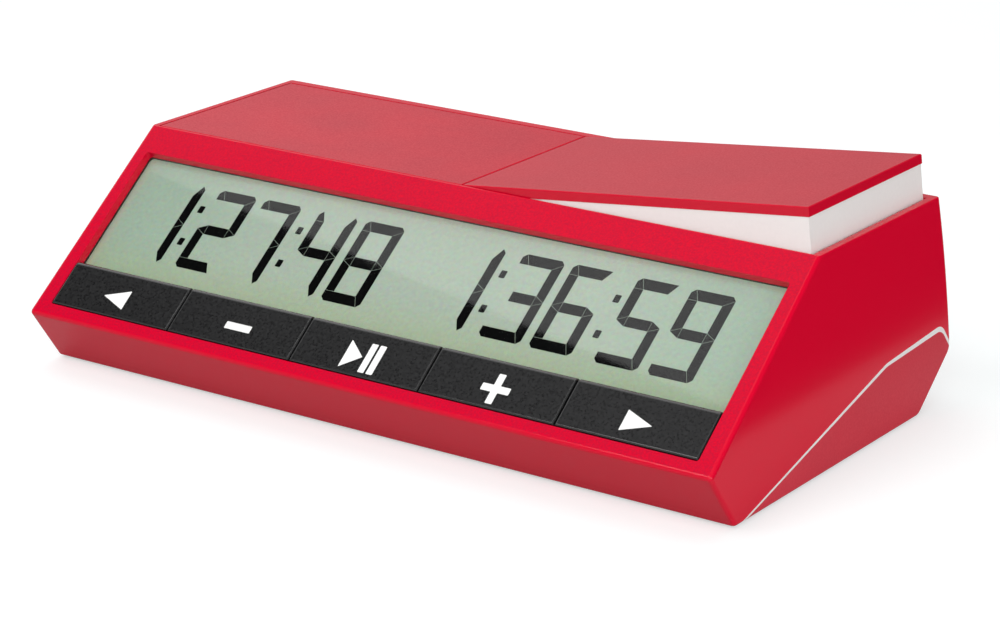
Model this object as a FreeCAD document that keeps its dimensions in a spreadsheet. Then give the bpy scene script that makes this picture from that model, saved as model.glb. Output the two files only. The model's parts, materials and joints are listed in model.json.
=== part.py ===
import FreeCAD, Part
import math
import os
import re
import Sketcher
from FreeCAD import Placement, Rotation, Vector

# A digital chess clock. Millimetres and degrees. +X is the player's right as the display faces
# them, +Y points to the back of the clock and +Z points up from the table at Z = 0.

DIMENSIONS = {
    # case outline, seen from the side: y is depth and z is height
    "base_z": 0.8,
    "base_front_y": -50.4,
    "lip_z": 16.6,
    "slope_y": -9.5,
    "slope_turn": 38.8,
    "top_z": 58.6,
    "top_rear_y": 53.9,
    "rear_y": 61.5,
    "rear_z": 14.5,
    "rear_radius": 280.0,
    "base_rear_y": 44.0,
    # case width, halved, at the base and at the rim
    "base_half": 111.0,
    "top_half": 109.2,
    "wall": 2.4,
    "lip_round": 1.2,
    "rim_round": 0.5,
    "rear_round": 4.0,
    "corner_round": 1.0,
    "base_round": 0.8,
    # line where the two shells meet, as it rises towards the back
    "part_start_y": -54.5,
    "part_start_z": -1.27,
    "part_front_y": -46.5,
    "part_rise_y": 25.5,
    "part_rise_z": 19.6,
    "part_back_y": 56.0,
    "part_back_z": 21.2,
    "part_end_y": 64.5,
    "part_end_z": 10.4,
    "part_round": 10.0,
    "trim_depth": 1.2,
    "trim_front": 0.5,
    "trim_back": 1.5,
    # well that the rocker sinks into
    "well_half": 107.0,
    "well_front_y": -9.05,
    "well_rear_y": 50.8,
    "well_floor_z": 42.5,
    "well_wall": 2.0,
    # rocker, in its own frame with the pivot as origin
    "pivot_z": 50.0,
    "rocker_y": 20.85,
    "rocker_turn": 3.18,
    "seam_rise": 8.66,
    "cover_long": 106.2,
    "cover_deep": 59.1,
    "cover_thick": 2.6,
    "cover_round": 0.45,
    "seam_gap": 0.12,
    "beam_deep": 12.0,
    "beam_inset": 0.15,
    "beam_wall": 2.0,
    "hub_round": 4.5,
    "hub_wall": 2.0,
    "rib_thick": 1.6,
    "rib_near_x": 30.0,
    "rib_far_x": 90.0,
    "axle_round": 2.0,
    "axle_gap": 0.05,
    "magnet_x": 60.0,
    "magnet_round": 3.0,
    "magnet_thick": 3.0,
    "magnet_wall": 1.6,
    "bumper_x": 98.0,
    "bumper_front_y": 2.0,
    "bumper_rear_y": 40.0,
    "bumper_long": 8.0,
    "bumper_thick": 1.6,
    # display opening and display, on the slope: down is the distance from the top edge
    "window_half": 105.0,
    "window_top": 9.1,
    "window_foot": 62.9,
    "window_round": 0.8,
    "lens_foot": 47.4,
    "lens_thick": 0.5,
    "lens_round": 1.3,
    "panel_thick": 2.2,
    "reflector_thick": 0.9,
    "frame_half": 106.4,
    "frame_top": 7.8,
    "frame_foot": 49.7,
    "frame_deep": 4.0,
    "ear_near": 24.0,
    "ear_far": 41.0,
    "ear_in": 4.0,
    "ear_long": 6.5,
    "ear_wide": 5.0,
    "strip_half": 95.0,
    "strip_wide": 2.0,
    # clearances: between seated parts, between touching ones, and how far joined blocks overlap
    "sit": 0.05,
    "skim": 0.02,
    "weld": 0.2,
    # keys
    "key_pitch": 42.0,
    "key_gap": 0.3,
    "key_proud": 0.2,
    "key_top": 47.9,
    "key_foot": 62.6,
    "key_bevel": 1.5,
    "key_edge": 0.6,
    "key_stem_round": 2.2,
    "key_lip": 1.6,
    "key_deep": 5.0,
    "key_ledge": 1.3,
    "key_wall": 1.2,
    "mat_thick": 1.0,
    "dome_round": 3.0,
    "dome_high": 2.7,
    # boards
    "board_deep": 9.0,
    "board_thick": 1.6,
    "board_half": 106.0,
    "board_top": 20.0,
    "board_foot": 63.6,
    "board_rib_x": 88.0,
    "board_rib_near_x": 40.0,
    "board_rib_thick": 2.0,
    "board_rib_top": 26.0,
    "board_rib_foot": 50.0,
    "chip_long": 14.0,
    "chip_y": -38.0,
    "chip_thick": 1.6,
    "crystal_x": 17.5,
    "crystal_y": -40.0,
    "crystal_long": 11.0,
    "crystal_wide": 4.0,
    "crystal_high": 3.4,
    "crystal_round": 1.8,
    "capacitor_x": -20.0,
    "capacitor_far_x": -28.0,
    "capacitor_y": -36.0,
    "capacitor_low_y": -45.0,
    "capacitor_round": 2.5,
    "capacitor_high": 7.0,
    "buzzer_x": 66.0,
    "buzzer_y": -38.0,
    "buzzer_round": 8.0,
    "buzzer_high": 4.5,
    "buzzer_hole": 1.0,
    "buzzer_hole_deep": 2.0,
    "socket_x": -56.0,
    "socket_y": -41.0,
    "socket_long": 8.0,
    "socket_wide": 6.0,
    "socket_high": 5.0,
    "sensor_z": 39.0,
    "sensor_half": 72.0,
    "sensor_wide": 12.0,
    "sensor_hole_x": 8.0,
    "sensor_boss_round": 2.4,
    "sensor_pilot_z": 41.5,
    "hall_long": 4.0,
    "hall_wide": 3.0,
    "power_z": 9.4,
    "power_hole_x": 9.0,
    "power_post_round": 2.2,
    "power_pilot_z": 5.0,
    "power_long": 24.0,
    "power_wide": 10.0,
    "switch_wide": 6.0,
    "switch_foot_z": 5.7,
    "switch_stem_z": 8.2,
    "switch_hole": 1.8,
    # batteries and their bay
    "cell_round": 7.25,
    "cell_long": 50.5,
    "cell_pitch": 15.6,
    "bay_y": 24.0,
    "bay_half": 28.4,
    "bay_deep": 31.6,
    "bay_top": 18.6,
    "bay_wall": 2.0,
    "nub_long": 1.2,
    "nub_round": 2.75,
    "plate_thick": 0.4,
    "plate_half": 14.0,
    "plate_high": 5.0,
    "leaf_wide": 6.0,
    "leaf_high": 4.5,
    "leaf_crest": 0.9,
    "leaf_thick": 0.4,
    "cover_lip": 0.85,
    "cover_tongue": 1.5,
    "cover_gap": 0.15,
    "cover_lead": 0.8,
    "grip_first_y": 36.0,
    "grip_pitch": 1.8,
    "grip_wide": 0.9,
    "grip_half": 8.0,
    "grip_deep": 0.5,
    # fasteners and small parts
    "post_x": 95.0,
    "post_front_y": -41.5,
    "post_middle_y": -2.0,
    "post_rear_y": 37.0,
    "post_front_x": 70.0,
    "post_round": 4.0,
    "boss_round": 3.4,
    "joint_z": 20.0,
    "front_joint_z": 6.0,
    "front_boss_top_z": 12.5,
    "front_rib_top_z": 11.0,
    "front_rib_y": -51.6,
    "front_rib_thick": 2.0,
    "seat_z": 9.0,
    "front_seat_z": 3.0,
    "tip_z": 31.0,
    "front_tip_z": 11.0,
    "pilot_top_z": 35.0,
    "front_pilot_top_z": 11.5,
    "shank_round": 1.35,
    "shank_pilot": 1.45,
    "shank_hole": 1.6,
    "head_round": 2.7,
    "head_hole": 3.1,
    "head_thick": 1.8,
    "small_hole": 1.2,
    "small_pilot": 1.0,
    "small_shank": 0.95,
    "small_head": 1.9,
    "small_head_thick": 1.2,
    "foot_long": 30.0,
    "foot_wide": 9.0,
    "foot_x": 84.0,
    "foot_front_y": -30.0,
    "foot_rear_y": 26.0,
    "foot_sunk": 0.8,
    "foot_gap": 0.2,
    "foot_edge": 0.3,
    "button_x": 66.0,
    "button_y": 8.0,
    "button_round": 5.0,
    "button_sunk": 0.4,
    "button_flange": 0.9,
    "button_stem": 1.6,
    "button_stem_z": 7.2,
}

doc = FreeCAD.newDocument("ChessClock")
sheet = doc.addObject("Spreadsheet::Sheet", "dims")
for row, (alias, amount) in enumerate(DIMENSIONS.items(), start=1):
    sheet.set(f"A{row}", alias.replace("_", " "))
    sheet.set(f"B{row}", str(amount))
    sheet.setAlias(f"B{row}", alias)
doc.recompute()

PIECES = []
SIDE = Placement(Vector(), Rotation(Vector(1, 1, 1), 120))
FRONT = Placement(Vector(), Rotation(Vector(1, 0, 0), 90))
HERE = Placement()


def bind(text):
    """Point each dimension named in an expression at its cell in the sheet."""
    def cell(name):
        return ("dims." if name.group() in DIMENSIONS else "") + name.group()

    return re.sub(r"[a-z_]+", cell, str(text))


def number(text):
    return float(sheet.evalExpression(bind(text)))


def spot(x, y, z):
    return Placement(Vector(number(x), number(y), number(z)), Rotation())


def piece(item, label):
    """Name a finished sub-part and keep it for export."""
    item.Label = label
    PIECES.append(item)
    return item


SLOPE = Placement(
    Vector(0, number("slope_y"), number("top_z")), Rotation(Vector(1, 0, 0), number("slope_turn"))
)
ROCKER = Placement(
    Vector(0, number("rocker_y"), number("pivot_z")), Rotation(Vector(0, 1, 0), -number("rocker_turn"))
)

AXLE = Placement(Vector(0, 0, number("pivot_z")), Rotation(Vector(1, 0, 0), -90))


# Sketches ------------------------------------------------------------------------------------

def fix_point(sketch, geometry, point, x, y):
    for kind, text in (("DistanceX", x), ("DistanceY", y)):
        index = sketch.addConstraint(Sketcher.Constraint(kind, -1, 1, geometry, point, number(text)))
        sketch.setExpression(f"Constraints[{index}]", bind(text))


def draw_outline(sketch, corners, arc_side=None, arc_radius=None):
    """Draw a closed outline; one side may be an arc that bulges outwards."""
    places = [Vector(number(x), number(y), 0) for x, y in corners]
    first = sketch.GeometryCount
    count = len(corners)
    for side in range(count):
        start, end = places[side], places[(side + 1) % count]
        if side == arc_side:
            chord = end - start
            rise = number(arc_radius) - math.sqrt(number(arc_radius) ** 2 - chord.Length ** 2 / 4)
            outwards = Vector(-chord.y, chord.x, 0).normalize()
            crown = (start + end) / 2 + outwards * rise
            sketch.addGeometry(Part.Arc(start, crown, end), False)
        else:
            sketch.addGeometry(Part.LineSegment(start, end), False)
    for side, (x, y) in enumerate(corners):
        point = 2 if side == arc_side else 1
        fix_point(sketch, first + side, point, x, y)
    for side in range(count):
        follower = (side + 1) % count
        end_point = 1 if side == arc_side else 2
        start_point = 2 if follower == arc_side else 1
        ends = (first + side, end_point, first + follower, start_point)
        sketch.addConstraint(Sketcher.Constraint("Coincident", *ends))
    if arc_side is not None:
        index = sketch.addConstraint(Sketcher.Constraint("Radius", first + arc_side, number(arc_radius)))
        sketch.setExpression(f"Constraints[{index}]", bind(arc_radius))


def draw_circles(sketch, centres, radius):
    for x, y in centres:
        centre = Vector(number(x), number(y), 0)
        geometry = sketch.addGeometry(Part.Circle(centre, Vector(0, 0, 1), number(radius)), False)
        fix_point(sketch, geometry, 3, x, y)
        index = sketch.addConstraint(Sketcher.Constraint("Radius", geometry, number(radius)))
        sketch.setExpression(f"Constraints[{index}]", bind(radius))


def rectangle(x_low, x_high, y_low, y_high):
    return [(x_low, y_low), (x_high, y_low), (x_high, y_high), (x_low, y_high)]


def centred(x, y, long, wide):
    """A rectangle by its middle and its size."""
    return rectangle(f"{x} - {long} / 2", f"{x} + {long} / 2", f"{y} - {wide} / 2", f"{y} + {wide} / 2")


# Parts from primitives and booleans -----------------------------------------------------------

def prism(name, plane, corners, long, frame=HERE, arc_side=None, arc_radius=None):
    """Extrude an outline both ways from its plane."""
    sketch = doc.addObject("Sketcher::SketchObject", name + "_outline")
    sketch.Placement = frame * plane
    draw_outline(sketch, corners, arc_side, arc_radius)
    solid = doc.addObject("Part::Extrusion", name)
    solid.Base = sketch
    solid.DirMode = "Normal"
    solid.Solid = True
    solid.Symmetric = True
    solid.setExpression("LengthFwd", bind(long))
    return solid


def slab(name, x, y, z, frame=HERE):
    """A box between pairs of limits along each axis of its frame."""
    box = doc.addObject("Part::Box", name)
    for size, (low, high) in (("Length", x), ("Width", y), ("Height", z)):
        box.setExpression(size, bind(f"({high}) - ({low})"))
    box.Placement = frame * spot(x[0], y[0], z[0])
    return box


def rod(name, x, y, z, radius, high, frame=HERE):
    cylinder = doc.addObject("Part::Cylinder", name)
    cylinder.setExpression("Radius", bind(radius))
    cylinder.setExpression("Height", bind(high))
    cylinder.Placement = frame * spot(x, y, z)
    return cylinder


def columns(name, places, radius, low, high):
    """The same upright rod at several places."""
    return [
        rod(f"{name}_{index}", x, y, low, radius, f"({high}) - ({low})")
        for index, (x, y) in enumerate(places)
    ]


def fuse(name, shapes):
    joined = doc.addObject("Part::MultiFuse", name)
    joined.Shapes = shapes
    return joined


def cut(name, base, tool):
    result = doc.addObject("Part::Cut", name)
    result.Base = base
    result.Tool = tool
    return result


def common(name, base, tool):
    result = doc.addObject("Part::Common", name)
    result.Base = base
    result.Tool = tool
    return result


def shrunk(name, source, depth):
    inner = doc.addObject("Part::Offset", name)
    inner.Source = source
    inner.Join = 2
    inner.setExpression("Value", bind(f"-({depth})"))
    return inner


def round_edges(name, base, radius_of):
    """Fillet each edge for which radius_of(edge) gives a radius."""
    doc.recompute()
    edges = []
    for index, edge in enumerate(base.Shape.Edges, start=1):
        radius = radius_of(edge)
        if radius:
            edges.append((index, radius, radius))
    fillet = doc.addObject("Part::Fillet", name)
    fillet.Base = base
    fillet.Edges = edges
    return fillet


# Parts as PartDesign bodies -------------------------------------------------------------------

def new_body(label, placement=HERE):
    body = doc.addObject("PartDesign::Body", label)
    body.Placement = placement
    return piece(body, label)


def sketch_in(body, role, at="0"):
    """A sketch on one of the body's own origin planes, moved along its normal."""
    plane = next(feature for feature in body.Origin.OriginFeatures if feature.Role == role)
    sketch = body.newObject("Sketcher::SketchObject", body.Label + "_sketch")
    sketch.AttachmentSupport = (plane, [""])
    sketch.MapMode = "FlatFace"
    sketch.AttachmentOffset = Placement(Vector(0, 0, number(at)), Rotation())
    if at != "0":
        sketch.setExpression("AttachmentOffset.Base.z", bind(at))
    return sketch


def extrude(body, kind, sketch, long, side="One side", reverse=False):
    before = body.Shape.Volume if kind == "Pocket" else 0.0
    feature = body.newObject("PartDesign::" + kind, body.Label + "_" + kind.lower())
    feature.Profile = sketch
    feature.setExpression("Length", bind(long))
    feature.SideType = side
    feature.Reversed = reverse
    doc.recompute()
    if kind == "Pocket" and not body.Shape.Volume < before:
        raise RuntimeError(f"{body.Label}: pocket cuts nothing")
    return feature


def pad_outline(body, corners, low, high, role="XY_Plane"):
    sketch = sketch_in(body, role, low)
    draw_outline(sketch, corners)
    return extrude(body, "Pad", sketch, f"({high}) - ({low})")


def pad_circles(body, centres, radius, low, high, role="XY_Plane"):
    sketch = sketch_in(body, role, low)
    draw_circles(sketch, centres, radius)
    return extrude(body, "Pad", sketch, f"({high}) - ({low})")


def pocket_outline(body, corners, low, high, role="XY_Plane"):
    sketch = sketch_in(body, role, low)
    draw_outline(sketch, corners)
    return extrude(body, "Pocket", sketch, f"({high}) - ({low})", reverse=True)


def pocket_circles(body, centres, radius, low, high, role="XY_Plane"):
    sketch = sketch_in(body, role, low)
    draw_circles(sketch, centres, radius)
    return extrude(body, "Pocket", sketch, f"({high}) - ({low})", reverse=True)


def soften(body, feature, radius, wanted):
    """Fillet the feature's edges that wanted(edge) picks out."""
    doc.recompute()
    names = [f"Edge{i}" for i, edge in enumerate(feature.Shape.Edges, start=1) if wanted(edge)]
    fillet = body.newObject("PartDesign::Fillet", body.Label + "_fillet")
    fillet.Base = (feature, names)
    fillet.setExpression("Radius", bind(radius))
    doc.recompute()
    return fillet


def runs_along(edge, axis):
    """True for a straight edge parallel to an axis."""
    if edge.Curve.TypeId != "Part::GeomLine":
        return False
    return abs(edge.Curve.Direction.dot(axis)) > 0.999


def near(value, text, slack=0.05):
    return abs(value - number(text)) < slack


# Case -----------------------------------------------------------------------------------------

LIP_Y = "slope_y - (top_z - lip_z) / tan(slope_turn)"
CASE_OUTLINE = [
    ("base_front_y", "base_z"),
    (LIP_Y, "lip_z"),
    ("slope_y", "top_z"),
    ("top_rear_y", "top_z"),
    ("rear_y", "rear_z"),
    ("base_rear_y", "base_z"),
]
REAR_ARC = 3
CASE_SIDES = [
    ("-base_half", "base_z"),
    ("base_half", "base_z"),
    ("top_half", "top_z"),
    ("-top_half", "top_z"),
]
FLOOR_TOP = "(base_z + wall)"
BELOW = "-1"
GRIPS = 4
ABOVE = "top_z + 5"
MIDDLE_POSTS = [(f"{side} * post_x", y) for side in (-1, 1) for y in ("post_middle_y", "post_rear_y")]
FRONT_POSTS = [(f"{side} * post_front_x", "post_front_y") for side in (-1, 1)]
SENSOR_HOLES = [
    (f"{side} * magnet_x {shift} sensor_hole_x", "rocker_y") for side in (-1, 1) for shift in ("-", "+")
]
POWER_HOLES = [(f"button_x {shift} power_hole_x", "button_y") for shift in ("-", "+")]
FEET = [
    (f"foot_{order}_{name}", f"{side} * foot_x", f"foot_{order}_y")
    for side, name in ((-1, "left"), (1, "right"))
    for order in ("front", "rear")
]


def case_edge_radius(edge):
    """Edge radii of the closed case: crisp rim and corners, softer lip, round foot at the back."""
    middle = edge.valueAt((edge.FirstParameter + edge.LastParameter) / 2)
    if runs_along(edge, Vector(1, 0, 0)):
        if near(middle.y, LIP_Y):
            return number("lip_round")
        if near(middle.y, "rear_y") or near(middle.y, "base_rear_y"):
            return number("rear_round")
        if near(middle.y, "base_front_y"):
            return number("base_round")
        return number("rim_round")
    if middle.y > number("base_rear_y"):
        return number("corner_round") if middle.z < number("top_z") - 1 else number("rim_round")
    if middle.y < number("slope_y"):
        return number("base_round") if near(middle.z, "base_z", 1) else number("lip_round")
    return number("base_round") if middle.z < number("lip_z") else number("rim_round")


def make_case_blocks():
    """The closed case, solid: sharp, rounded, and its inside."""
    arc = {"arc_side": REAR_ARC, "arc_radius": "rear_radius"}
    length = prism("case_length", SIDE, CASE_OUTLINE, "3 * base_half", **arc)
    sides = prism("case_sides", FRONT, CASE_SIDES, "4 * rear_y")
    sharp = common("case_sharp", length, sides)
    rounded = round_edges("case_rounded", sharp, case_edge_radius)
    inside = shrunk("case_inside", sharp, "wall")
    trim_inside = shrunk("case_trim_inside", sharp, "trim_depth")
    return rounded, inside, trim_inside


def under_line(name, raise_front, raise_back):
    """Everything below the joint line between the shells, with the line's bends rounded."""
    corners = [
        ("part_start_y", "base_z - 4"),
        ("part_start_y", f"part_start_z + {raise_front}"),
        ("part_rise_y", f"part_rise_z + ({raise_front} + {raise_back}) / 2"),
        ("part_back_y", f"part_back_z + {raise_back}"),
        ("part_end_y", f"part_end_z + {raise_back}"),
        ("part_end_y", "base_z - 4"),
    ]
    block = prism(name + "_block", SIDE, corners, "3 * base_half")
    bends = (("part_rise_y", "part_round"), ("part_back_y", "part_round / 2"))

    def bend_radius(edge):
        if not runs_along(edge, Vector(1, 0, 0)):
            return 0.0
        return next((number(radius) for y, radius in bends if near(edge.CenterOfMass.y, y)), 0.0)

    return round_edges(name, block, bend_radius)


def floor_zone(name):
    """The case's own floor, which belongs to the lower shell."""
    return slab(
        name,
        ("-base_half + wall", "base_half - wall"),
        ("part_front_y", "part_end_y"),
        (BELOW, FLOOR_TOP),
    )


def make_bosses():
    """Bosses and ribs inside the upper shell, and the pilot holes for their screws."""
    under_well = "well_floor_z - well_wall + weld"
    bosses = columns("boss", MIDDLE_POSTS, "boss_round", "joint_z + 2 * sit", under_well)
    bosses += columns("front_boss", FRONT_POSTS, "boss_round", "front_joint_z + 2 * sit", "front_boss_top_z")
    bosses += columns("sensor_boss", SENSOR_HOLES, "sensor_boss_round", "sensor_z", under_well)
    for index, (x, y) in enumerate(FRONT_POSTS):
        across = (f"{x} - front_rib_thick / 2", f"{x} + front_rib_thick / 2")
        upright = ("front_joint_z + 2 * sit", "front_rib_top_z")
        bosses.append(slab(f"front_rib_{index}", across, ("front_rib_y", y), upright))
    holes = columns("boss_hole", MIDDLE_POSTS, "shank_pilot", "joint_z", "pilot_top_z")
    holes += columns("front_hole", FRONT_POSTS, "shank_pilot", "front_joint_z", "front_pilot_top_z")
    holes += columns("sensor_hole", SENSOR_HOLES, "small_pilot", "sensor_z - 1", "sensor_pilot_z")
    return bosses, holes


def make_case_openings():
    """The display window, the rocker's well and the holes for its axle."""
    across = ("-window_half", "window_half")
    block = slab("window_block", across, ("-window_foot", "-window_top"), ("-wall - 1", "8"), SLOPE)
    upright = SLOPE.Rotation.multVec(Vector(0, 0, 1))
    window = round_edges("window", block, lambda edge: number("window_round") * runs_along(edge, upright))
    depth = ("well_front_y", "well_rear_y")
    well = slab("well", ("-well_half", "well_half"), depth, ("well_floor_z", ABOVE))
    start = "well_front_y - well_wall - 0.3"
    axle = rod("axle_hole", "0", "0", start, "axle_round", f"well_rear_y + well_wall - 0.1 - ({start})", AXLE)
    return [window, well, axle]


def make_upper_shell(rounded, inside, below, trim):
    """Red case top: skin, window, rocker well with axle holes, and screw bosses."""
    well = slab(
        "well_outside",
        ("-base_half", "base_half"),
        ("well_front_y - well_wall", "well_rear_y + well_wall"),
        ("well_floor_z - well_wall", ABOVE),
    )
    skin = cut("upper_skin", rounded, cut("upper_hollow", inside, well))
    top = cut("upper_top", skin, fuse("upper_below", [below, floor_zone("upper_floor_zone"), trim]))
    bosses, holes = make_bosses()
    solid = fuse("upper_solid", [top] + bosses)
    openings = fuse("upper_openings", make_case_openings() + holes)
    piece(cut("upper_shell", solid, openings), "upper_shell")


def make_bay():
    """Battery bay: its walls, the room inside, and the slot and mouth for its cover."""
    front = "bay_y - bay_deep / 2"
    rear = "bay_y + bay_deep / 2"
    outer = "(bay_half + bay_wall + cover_tongue)"
    depth = (f"{front} - bay_wall", f"{rear} + bay_wall")
    walls = slab("bay_block", (f"-{outer}", outer), depth, (f"{FLOOR_TOP} - weld", "bay_top + bay_wall"))
    space = slab("bay_space", ("-bay_half", "bay_half"), (front, rear), (BELOW, "bay_top"))
    run = (f"{front} - cover_lead - weld", "rear_y")
    slot_half = "(bay_half + cover_tongue + cover_gap)"
    slot = slab("cover_slot", (f"-{slot_half}", slot_half), run, ("base_z + cover_lip", FLOOR_TOP))
    mouth_half = "(bay_half + cover_gap)"
    mouth = slab("cover_mouth", (f"-{mouth_half}", mouth_half), run, (BELOW, "base_z + cover_lip + 0.1"))
    return walls, [space, slot, mouth]


def make_posts():
    """Posts of the lower shell, with the screws' through holes and head seats."""
    foot = f"{FLOOR_TOP} - 1"
    posts = columns("post", MIDDLE_POSTS, "post_round", foot, "joint_z + sit")
    posts += columns("front_post", FRONT_POSTS, "post_round", foot, "front_joint_z + sit")
    posts += columns("power_post", POWER_HOLES, "power_post_round", foot, "power_z")
    holes = columns("post_hole", MIDDLE_POSTS, "shank_hole", BELOW, "joint_z + 1")
    holes += columns("front_post_hole", FRONT_POSTS, "shank_hole", BELOW, "front_joint_z + 1")
    holes += columns("post_seat", MIDDLE_POSTS, "head_hole", BELOW, "seat_z")
    holes += columns("front_post_seat", FRONT_POSTS, "head_hole", BELOW, "front_seat_z")
    holes += columns("power_post_hole", POWER_HOLES, "small_pilot", "power_pilot_z", "power_z + 1")
    return posts, holes


def foot_pocket(name, x, y):
    across = (f"{x} - foot_long / 2 - foot_gap", f"{x} + foot_long / 2 + foot_gap")
    depth = (f"{y} - foot_wide / 2 - foot_gap", f"{y} + foot_wide / 2 + foot_gap")
    return slab(name + "_pocket", across, depth, (BELOW, "base_z + foot_sunk"))


def make_lower_shell(rounded, inside, below, trim):
    """Red case bottom: tray, screw posts, battery bay, feet pockets and button hole."""
    skin = cut("lower_skin", rounded, inside)
    zone = fuse("lower_zone", [below, floor_zone("lower_floor_zone")])
    tray = common("lower_tray", skin, zone)
    bay_walls, bay_openings = make_bay()
    posts, holes = make_posts()
    rib_places = ("-board_rib_x", "-board_rib_near_x", "board_rib_near_x", "board_rib_x")
    ribs = [board_rib(f"board_rib_{index}", x) for index, x in enumerate(rib_places)]
    pockets = [foot_pocket(*foot) for foot in FEET]
    button_hole = rod("button_hole", "button_x", "button_y", BELOW, "button_round + foot_gap", "6")
    solid = fuse("lower_solid", [tray, bay_walls] + posts + ribs)
    openings = bay_openings + holes + pockets + [button_hole, trim]
    piece(cut("lower_shell", solid, fuse("lower_openings", openings)), "lower_shell")


def under_slope(down, depth):
    """y and z, as expressions, of a place some way down the slope and some depth under it."""
    y = f"(slope_y - {down} * cos(slope_turn) + {depth} * sin(slope_turn))"
    z = f"(top_z - {down} * sin(slope_turn) - {depth} * cos(slope_turn))"
    return y, z


def board_rib(name, x):
    """Upright rib whose sloping top backs the main board."""
    back = "(board_deep + board_thick + 2 * sit)"
    foot, foot_z = under_slope("board_rib_foot", back)
    head, head_z = under_slope("board_rib_top", back)
    floor = f"{FLOOR_TOP} - 1"
    corners = [(foot, floor), (head, floor), (head, head_z), (foot, foot_z)]
    return prism(name, SIDE, corners, "board_rib_thick", spot(x, "0", "0"))


def make_trim(rounded, trim_inside, below):
    """White band trapped in the joint, round the sides and the back."""
    stripe = cut("trim_stripe", under_line("below_trim", "trim_front", "trim_back"), below)
    band = common("trim_whole", cut("trim_ring", rounded, trim_inside), stripe)
    half = "(base_half - trim_depth)"
    under_zone = slab("trim_under_zone", (f"-{half}", half), ("part_start_y", "0"), ("-5", "10"))
    return piece(cut("trim_band", band, under_zone), "trim_band")


def make_case():
    rounded, inside, trim_inside = make_case_blocks()
    below = under_line("below_joint", "0", "0")
    trim = make_trim(rounded, trim_inside, below)
    make_upper_shell(rounded, inside, below, trim)
    make_lower_shell(rounded, inside, below, trim)
    make_battery_cover(rounded)


def make_battery_cover(rounded):
    """Flush plate with a tongue along each side; it slides out towards the back."""
    front = "bay_y - bay_deep / 2 - cover_lead"
    top = f"{FLOOR_TOP} - 0.1"
    plate = slab("cover_plate", ("-bay_half", "bay_half"), (front, "rear_y"), (BELOW, top))
    outer = "(bay_half + cover_tongue)"
    lip = "base_z + cover_lip + 0.1"
    tongues = slab("cover_tongues", (f"-{outer}", outer), (front, "base_rear_y"), (lip, top))
    solid = common("cover_shape", rounded, fuse("cover_solid", [plate, tongues]))
    grips = []
    for index in range(GRIPS):
        start = f"grip_first_y + {index} * grip_pitch"
        limits = (("-grip_half", "grip_half"), (start, f"{start} + grip_wide"), ("0", "base_z + grip_deep"))
        grips.append(slab(f"cover_grip_{index}", *limits))
    piece(cut("battery_cover", solid, fuse("cover_grips", grips)), "battery_cover")


def make_feet():
    for name, x, y in FEET:
        foot = new_body(name, spot(x, y, "0"))
        pad = pad_outline(foot, centred("0", "0", "foot_long", "foot_wide"), "0", "base_z + foot_sunk - sit")
        soften(foot, pad, "foot_edge", lambda edge: near(edge.CenterOfMass.z, "0"))


def make_case_screws():
    """Six pan-head screws, in one node."""
    screws = new_body("case_screws")
    sets = (
        (MIDDLE_POSTS, "(seat_z - skim)", "tip_z"),
        (FRONT_POSTS, "(front_seat_z - skim)", "front_tip_z"),
    )
    for places, seat, tip in sets:
        pad_circles(screws, places, "head_round", f"{seat} - head_thick", seat)
        pad_circles(screws, places, "shank_round", seat, tip)


# Rocker ---------------------------------------------------------------------------------------

def beam_line():
    """Heights and lengths of the beam's outline, as expressions, in the rocker's frame."""
    rise = "(seam_rise - cover_thick / cos(rocker_turn))"
    long = "(cover_long - beam_inset)"
    return {
        "rise": rise,
        "end_x": f"({long} * cos(rocker_turn))",
        "end_z": f"({rise} + {long} * sin(rocker_turn))",
        "foot_x": f"({long} * cos(rocker_turn) + beam_deep * sin(rocker_turn))",
        "foot_z": f"({rise} + {long} * sin(rocker_turn) - beam_deep * cos(rocker_turn))",
        "middle_z": f"({rise} - beam_deep / cos(rocker_turn))",
    }


def make_beam_block(beam, line):
    corners = [
        ("0", line["rise"]),
        (f"-{line['end_x']}", line["end_z"]),
        (f"-{line['foot_x']}", line["foot_z"]),
        ("0", line["middle_z"]),
        (line["foot_x"], line["foot_z"]),
        (line["end_x"], line["end_z"]),
    ]
    sketch = sketch_in(beam, "XZ_Plane")
    draw_outline(sketch, corners)
    extrude(beam, "Pad", sketch, "cover_deep - 2 * beam_inset", side="Symmetric")


def hollow_beam(beam, line):
    """Open each half of the beam from below, up to the hub's wall."""
    skin = "beam_wall / cos(rocker_turn)"
    for side in (-1, 1):
        hub_x = f"{side} * (hub_round + hub_wall)"
        corners = [
            (hub_x, f"{line['rise']} - {skin}"),
            (f"{side} * ({line['end_x']} - beam_wall)", f"{line['end_z']} - {skin}"),
            (f"{side} * ({line['foot_x']} - beam_wall)", f"{line['foot_z']} - 1"),
            (hub_x, f"{line['middle_z']} - 1"),
        ]
        sketch = sketch_in(beam, "XZ_Plane")
        draw_outline(sketch, corners)
        extrude(beam, "Pocket", sketch, "cover_deep - 2 * beam_inset - 2 * beam_wall", side="Symmetric")


def add_beam_ribs(beam, line):
    """Cross ribs, and a cup for each magnet."""
    for x in ("-magnet_x", "magnet_x"):
        roof = f"{line['rise']} + magnet_x * tan(rocker_turn) - 1"
        pad_circles(beam, [(x, "0")], "magnet_round + magnet_wall", "0", roof)
        pocket_circles(beam, [(x, "0")], "magnet_round + skim", "0", "magnet_thick")
    wide = "(cover_deep - 2 * beam_inset - 2 * beam_wall + 1)"
    for side in (-1, 1):
        for x in ("rib_near_x", "rib_far_x"):
            under = f"{line['rise']} + {x} * tan(rocker_turn)"
            outline = centred(f"{side} * {x}", "0", "rib_thick", wide)
            pad_outline(beam, outline, f"{under} - beam_deep + 2", f"{under} - 1")


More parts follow.
